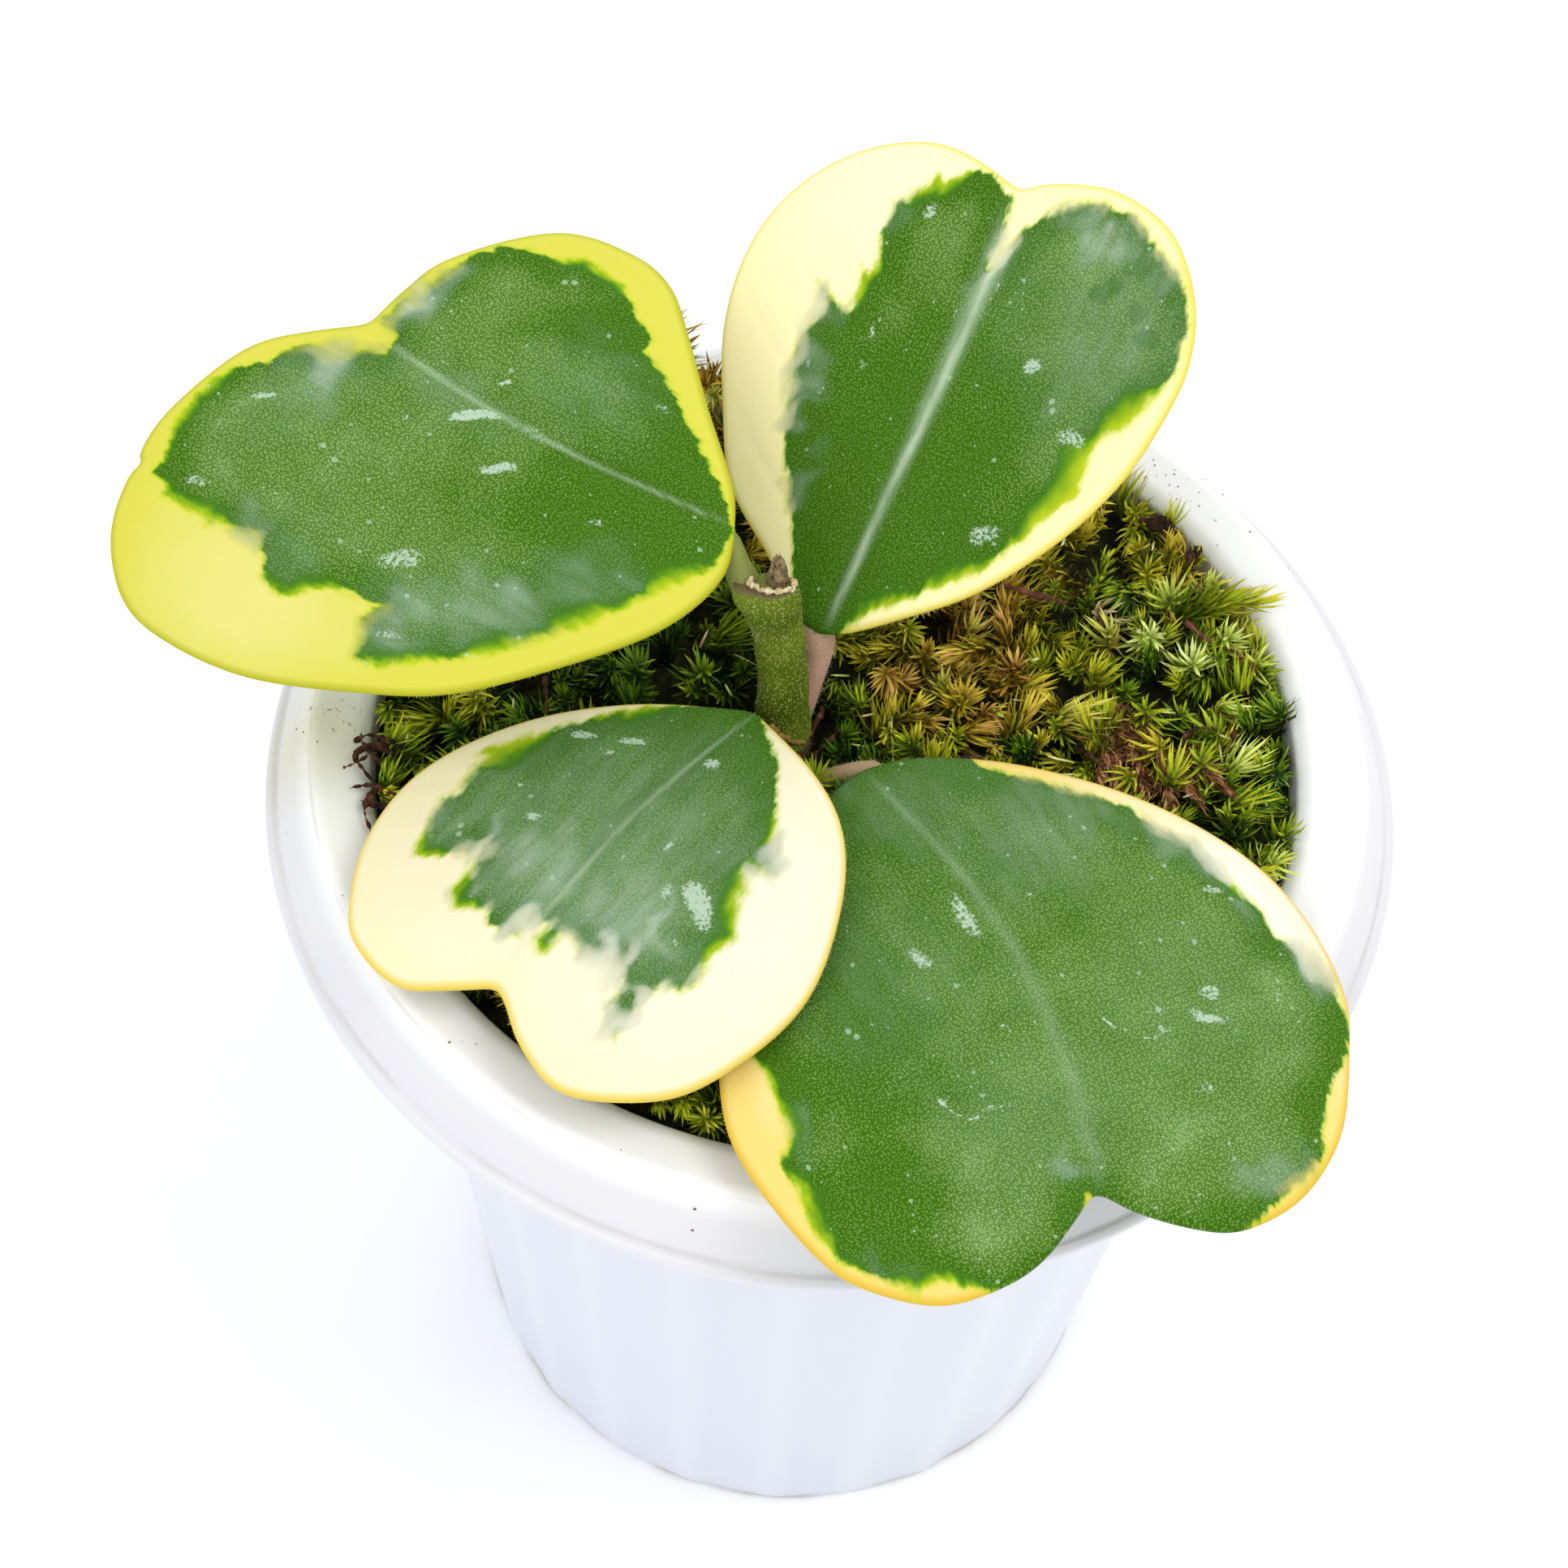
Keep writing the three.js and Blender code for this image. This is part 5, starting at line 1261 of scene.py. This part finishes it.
# A direction that changes slowly over the moss, so that neighbours lean alike
def tuftLean(x, y):
    spot = Vector((x, y, 0)) / moss["tuftSize"]
    return np.array([noise.noise(spot + Vector((0, 0, 11))), noise.noise(spot + Vector((0, 0, 47)))]) * 2.2


def makeMoss():
    shape, faces = makeLeaflet()
    rng = np.random.default_rng(5)
    kinds = {"Green": [], "Gold": [], "Dead": []}
    # spread evenly over the bed, with a closer row along the rim
    inner = moss["shoots"] - moss["rimShoots"]
    count = np.arange(moss["shoots"])
    radius = (moss["radius"] - 2.5) * np.sqrt((count + 0.5) / inner)
    radius = np.where(count < inner, radius, moss["radius"] - 1.2)
    spiral = count * math.pi * (3 - math.sqrt(5))
    turn = np.where(count < inner, spiral, (count - inner) * math.tau / moss["rimShoots"])
    x = radius * np.cos(turn) + rng.normal(0, 0.6, len(count))
    y = radius * np.sin(turn) + rng.normal(0, 0.6, len(count))
    surface = mossHeight(x, y)
    room = roomBelowLeaves(x, y) - surface
    clumpX, clumpY, clumpWide, clumpDeep = moss["clump"]
    leaflets = moss["leavesPerShoot"]
    reach = leaflets * moss["leafSpacing"]
    for i in count:
        bare = any(math.hypot(x[i] - a, y[i] - b) < c for a, b, c in moss["bare"])
        inClump = ((x[i] - clumpX) / clumpWide) ** 2 + ((y[i] - clumpY) / clumpDeep) ** 2 < 1
        hollow = noise.noise(Vector((x[i] / 4.5, y[i] / 4.5, 30)))
        # the cushions have gaps between them, more on the left, but none along the rim
        gapBelow = -0.34 if x[i] > -5 else -0.12
        inGap = hollow < gapBelow and radius[i] < 43
        if bare or inClump or inGap or room[i] < 0.5:
            continue
        outward = np.array([x[i], y[i]]) / moss["radius"]
        lean = moss["lean"] * tuftLean(x[i], y[i]) + rng.normal(0, 0.3, 2)
        lean = lean + outward * 0.5 * np.linalg.norm(outward) ** 4
        way = np.array([*lean, 1])
        way /= np.linalg.norm(way)
        lift = min(rng.uniform(0.6, 2.6) + 2.8 * max(hollow, -0.2), room[i] - 1.2)
        tip = np.array([x[i], y[i], surface[i] + lift])
        root = tip - way * reach
        size = moss["leafLength"] * rng.uniform(0.8, 1.15)
        tone = mossTone(x[i], y[i]) + rng.normal(0, 0.06)
        spots, share = growShoot(shape, root, way, leaflets, size, rng, rng.uniform(0, 0.9))
        tones = np.clip(tone + rng.normal(0, 0.04, leaflets) - 0.1 * (1 - share), 0, 0.8)
        kinds["Gold" if tone > 0.42 else "Green"].append((spots, share, tones))
    for x, y, leanX, leanY, tone in moss["stars"]:
        root = np.array([x, y, float(mossHeight(x, y)) - 0.6])
        number = moss["starLeaves"]
        spots, share = growShoot(shape, root, [leanX, leanY, 1], number, moss["starLength"], rng, 0.8)
        tones = np.clip(tone + rng.normal(0, 0.02, number) - 0.05 * (1 - share), 0, 1)
        kinds["Gold"].append((spots, 0.35 + 0.65 * share, tones))
    for x, y, z, wayX, wayY, wayZ, length, tone in moss["lying"]:
        number = int(length / moss["leafSpacing"])
        root = np.array([x, y, z])
        spots, share = growShoot(shape, root, [wayX, wayY, wayZ], number, moss["starLength"], rng)
        kinds["Gold"].append((spots, share, np.clip(tone + rng.normal(0, 0.05, number), 0, 1)))
    for x, y, wayX, wayY in moss["dead"]:
        root = np.array([x, y, float(mossHeight(x, y)) + rng.uniform(0, 0.9)])
        number = moss["deadLeaves"]
        spots, share = growShoot(shape, root, [wayX, wayY, 0.12], number, moss["deadLength"], rng, -0.5)
        kinds["Dead"].append((spots, share, rng.uniform(0.2, 0.8, number)))
    # straw-coloured scraps of dead leaf lie scattered on it
    number = moss["scraps"]
    turn = rng.uniform(0, math.tau, number)
    radius = (moss["radius"] - 2) * np.sqrt(rng.uniform(0, 1, number))
    foot = np.column_stack([radius * np.cos(turn), radius * np.sin(turn), np.zeros(number)])
    foot[:, 2] = mossHeight(foot[:, 0], foot[:, 1]) + rng.uniform(1, 2.8, number)
    foot = foot[roomBelowLeaves(foot[:, 0], foot[:, 1]) > foot[:, 2] + 1]
    number = len(foot)
    turn = rng.uniform(0, math.tau, number)
    way = np.column_stack([np.cos(turn), np.sin(turn), rng.normal(0, 0.25, number)])
    flank = np.column_stack([-np.sin(turn), np.cos(turn), rng.normal(0, 0.5, number)])
    length = rng.uniform(0.8, 3.2, number)[:, None] * shape[:, 0]
    spots = foot[:, None, :] + length[..., None] * way[:, None, :]
    spots = spots + (0.32 * shape[:, 1])[None, :, None] * flank[:, None, :]
    kinds["Gold"].append((spots, np.ones(number), rng.uniform(0.9, 1, number)))
    living = makeMossMaterial()
    dead = makeDryMaterial("dead moss", "#5A341C", "#A06C42", "#D2A478", 900)
    buildShoots("mossGreen", shape, faces, kinds["Green"], living, ["moss"])
    half = len(kinds["Gold"]) // 2  # two pieces, so that neither is too heavy
    buildShoots("mossGold1", shape, faces, kinds["Gold"][:half], living)
    buildShoots("mossGold2", shape, faces, kinds["Gold"][half:], living)
    buildShoots("mossDead", shape, faces, kinds["Dead"], dead, ["moss_dead"])
    for kind, shoots in kinds.items():
        print("moss", kind, len(shoots), "shoots")


makeMossBed()
makeMoss()
print("moss made")


# Litter on the moss: twigs, bark, a husk and dead roots that hang over the rim

litter = {
    "twigs": {
        "twigRed": ("twig_red", [(14.3, 19.6, 114.2), (18.9, 18.9, 114.2), (23.5, 17.9, 113.9)], 0.36),
        "twigDry": ("twig_dry", [(36.3, 16.6, 114), (38.9, 14.4, 113.9), (41.5, 13.6, 113.6),
            (43.9, 11.8, 113)], 0.21),
    },
    "chips": {
        "barkChip": ("bark_chip", (33.8, 31.2, 111.8), (4.4, 1.8, 0.8), -0.5),
        "seedHusk": ("husk", (37.6, 26.9, 112.4), (2.8, 1, 0.7), 1.1),
    },
    # dead roots: their radius in mm, then where they run
    "roots": [
        (0.34, [(-44.5, -5.6, 111.2), (-46.1, -5.6, 112), (-48.4, -5.2, 112.3), (-49.8, -5.9, 111.9)]),
        (0.4, [(-45.5, -6.4, 111), (-47.6, -6.6, 112.4), (-49.5, -7.6, 112.1), (-48.3, -9.5, 111.7),
            (-46.6, -10.8, 111.3)]),
        (0.3, [(-44.6, -12, 111), (-47.4, -11.2, 112), (-49.5, -11.6, 111.7)]),
        (0.34, [(-44.4, -12.9, 111), (-46.8, -13.8, 112), (-48.3, -13, 111.8)]),
        (0.3, [(-46.8, -10.8, 111.4), (-47.6, -14.2, 112), (-46.6, -16.9, 111.6)]),
        (0.26, [(-45.6, -9.4, 111.5), (-47.4, -8.2, 112.6), (-48.9, -6.6, 112.6), (-49.2, -5, 112.3)]),
        (0.24, [(-47.7, -6.6, 112.2), (-48.8, -8.8, 112.7), (-50.4, -9.3, 112)]),
        (0.3, [(-1.7, 3.6, 111.2), (-2.1, 1.9, 112), (-2.7, 0, 111.4), (-4, -2.6, 110.7)]),
        (0.22, [(0.4, 1.6, 110.4), (-0.9, -0.6, 111), (-2.6, -2.6, 110.6)]),
        (0.26, [(-31, 3.9, 112), (-30.6, 1, 114.4), (-30.2, -1.8, 114)]),
        (0.24, [(8.1, -2.9, 112.4), (10.2, -3.9, 112.9), (12.7, -2.8, 113.2), (16.9, -2.5, 112.6)]),
        (0.28, [(25.2, 0.9, 111.6), (26.7, -1.4, 113.2), (28.4, -2.3, 112.4)]),
        (0.22, [(36, 1.6, 112.3), (37.4, 3.4, 113.2), (40.4, 3.6, 112.8)]),
        (0.2, [(39.9, 6.3, 112.4), (41.7, 4.9, 113), (41, 1.2, 112.4)]),
    ],
    # specks of soil on the rim: (x, y) and the scatter round them, their number, their size
    "specks": [(-52, -3, 2, 50, 0.22), (-51, 6, 3, 20, 0.2), (34, 38, 4, 40, 0.28), (43, 29, 5, 14, 0.25),
        (-11.5, -56.6, 0.7, 3, 0.5), (-34.4, -38.7, 1, 3, 0.4), (-19, -43.7, 2, 4, 0.35),
        (-12, -50, 5, 5, 0.25), (-44, -30, 4, 4, 0.25)],
    "speckFrom": 49.8,
    "speckTo": 58.5,
}


def rimHeight(radius):
    top, lip = pot["height"], pot["height"] - pot["lipDrop"]
    profile = [(47, top), (pot["flangeRadius"] + 0.8, top - 0.4), (pot["crestRadius"], top),
               (pot["crestRadius"] + 1.3, top - 1.2), (pot["lipRadius"] - 1.1, lip + 0.5)]
    return between(profile, radius)


# Dead roots and rotted stalks: thin, crooked, with a rough skin
def makeRoots(skin):
    roots = []
    for k, (radius, path) in enumerate(litter["roots"]):
        root = tubeAlong(path, lambda share: radius * (1.1 - 0.8 * share), 22, 2)
        roughen(root, 0.5, 0.9, 20 + k)
        roots.append(root)
    finishPiece(joinPieces(roots), "deadRoots", skin)


def makeSpecks(skin):
    rng = np.random.default_rng(11)
    clearSelection()
    bpy.ops.mesh.primitive_ico_sphere_add(subdivisions=1, radius=0.5)
    first = bpy.context.object
    ball = places(first)
    specks = []
    for x, y, scatter, number, size in litter["specks"]:
        for k in range(number):
            spot = np.array([x, y]) + rng.normal(0, scatter, 2)
            radius = np.hypot(*spot)
            if radius < litter["speckFrom"] or radius > litter["speckTo"]:
                continue
            speck = first.copy()
            speck.data = first.data.copy()
            bpy.context.scene.collection.objects.link(speck)
            shape = ball * rng.uniform(0.5, 1.1, 3) * size * rng.uniform(0.4, 1)
            setPlaces(speck, (shape + [*spot, rimHeight(radius) + 0.03]) * mm)
            specks.append(speck)
    bpy.data.objects.remove(first)
    finishPiece(joinPieces(specks), "soilSpecks", skin)


def makeLitter():
    redBark = makeDryMaterial("red twig bark", "#4A2A22", "#6E4336", "#93604C", 800)
    darkBark = makeDryMaterial("dark bark", "#24160F", "#402A1E", "#6E4A32", 600)
    makeRoots(makeDryMaterial("dead root", "#1E110B", "#3E2519", "#74492F", 900))
    makeSpecks(makeDryMaterial("dry soil", "#5A3A22", "#7C5636", "#A07850", 1200))
    for name, (node, path, radius) in litter["twigs"].items():
        twig = tubeAlong(path, lambda share: radius * (1 - 0.35 * share), 24, 3)
        roughen(twig, 0.45, 0.8, 3)
        finishPiece(twig, name, redBark, [node])
    for name, (node, place, size, turn) in litter["chips"].items():
        clearSelection()
        bpy.ops.mesh.primitive_ico_sphere_add(subdivisions=4, radius=0.5)
        chip = bpy.context.object
        setPlaces(chip, places(chip) * np.array(size) * mm)
        roughen(chip, 0.9, 1, 6)
        roughen(chip, 0.4, 0.35, 9)
        spots = places(chip)
        turned = np.array([[math.cos(turn), -math.sin(turn), 0],
                           [math.sin(turn), math.cos(turn), 0], [0, 0, 1]])
        setPlaces(chip, spots @ turned.T + np.array(place) * mm)
        finishPiece(chip, name, darkBark, [node])


makeLitter()
print("litter made")


# Hairs: a short down on the stalks and the stem, and a fringe along the edge of each blade

hairs = {
    "onEdge": 500,
    "onStalk": 420,
    "onStem": 500,
    "edgeLength": 0.2,
    "stalkLength": 0.22,
    "width": 0.045,
}


# Hairs stand at these places and point these ways (rows of x, y, z in mm)
def growHairs(roots, ways, length, shape, rng):
    ways = ways / np.linalg.norm(ways, axis=1)[:, None] + rng.normal(0, 0.3, ways.shape)
    flank = np.cross(ways, rng.normal(0, 1, ways.shape))
    flank /= np.linalg.norm(flank, axis=1)[:, None]
    reach = length * rng.uniform(0.5, 1.2, len(roots))[:, None] * shape[:, 0]
    spots = roots[:, None, :] + reach[..., None] * ways[:, None, :]
    spots = spots + (hairs["width"] * shape[:, 1])[None, :, None] * flank[:, None, :]
    return spots, np.ones(len(roots)), rng.uniform(0, 1, len(roots))


def downOn(path, radiusAt, number, shape, rng):
    line = smoothThrough(path, 100)
    share = rng.uniform(0.02, 0.98, number)
    index = (share * 99).astype(int)
    along = np.gradient(line, axis=0)[index]
    out = np.cross(along, rng.normal(0, 1, along.shape))
    out /= np.linalg.norm(out, axis=1)[:, None]
    radius = np.array([radiusAt(s) for s in share])
    return growHairs(line[index] + out * radius[:, None], out, hairs["stalkLength"], shape, rng)


def makeHairs():
    shape, faces = makeLeaflet()
    rng = np.random.default_rng(8)
    tufts = []
    for leaf in leaves.values():
        outline = bladeOutline(leaf, leafLook["outlinePoints"])
        spots = smoothThrough([*outline, outline[0]], hairs["onEdge"] + 1)
        along = np.gradient(spots, axis=0)
        level = np.zeros(len(spots))
        out = np.column_stack([-along[:, 1], along[:, 0]])
        out *= np.sign(np.sum(out * (spots - outline.mean(axis=0)), axis=1))[:, None]
        out /= np.linalg.norm(out, axis=1)[:, None]
        foot = onSheet(leaf, spots[:, 0], spots[:, 1], level)
        beyond = onSheet(leaf, spots[:, 0] + out[:, 0], spots[:, 1] + out[:, 1], level)
        tufts.append(growHairs(foot, beyond - foot, hairs["edgeLength"], shape, rng))
        girth = [(share / 0.4, radius) for share, radius in leaf["girth"]]
        tufts.append(downOn(leaf["petiole"], lambda s: between(girth, s), hairs["onStalk"], shape, rng))
    upright = [place for place in stem["path"] if place[2] > 107]
    low, high = upright[0][2], upright[-1][2]
    tufts.append(downOn(upright, lambda s: between(stem["radii"], low + (high - low) * s),
                        hairs["onStem"], shape, rng))
    skin = makeDryMaterial("plant hair", "#B4AE84", "#D6D2AE", "#F0EED8", 300)
    buildShoots("plantHairs", shape, faces, tufts, skin)


makeHairs()
print("hairs made")


# Soil: hidden by the moss, seen only through the drain holes
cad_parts["soil"].data.materials.clear()
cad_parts["soil"].data.materials.append(
    makeDryMaterial("peat and coir", "#1C120B", "#33231A", "#5A4230", 500))
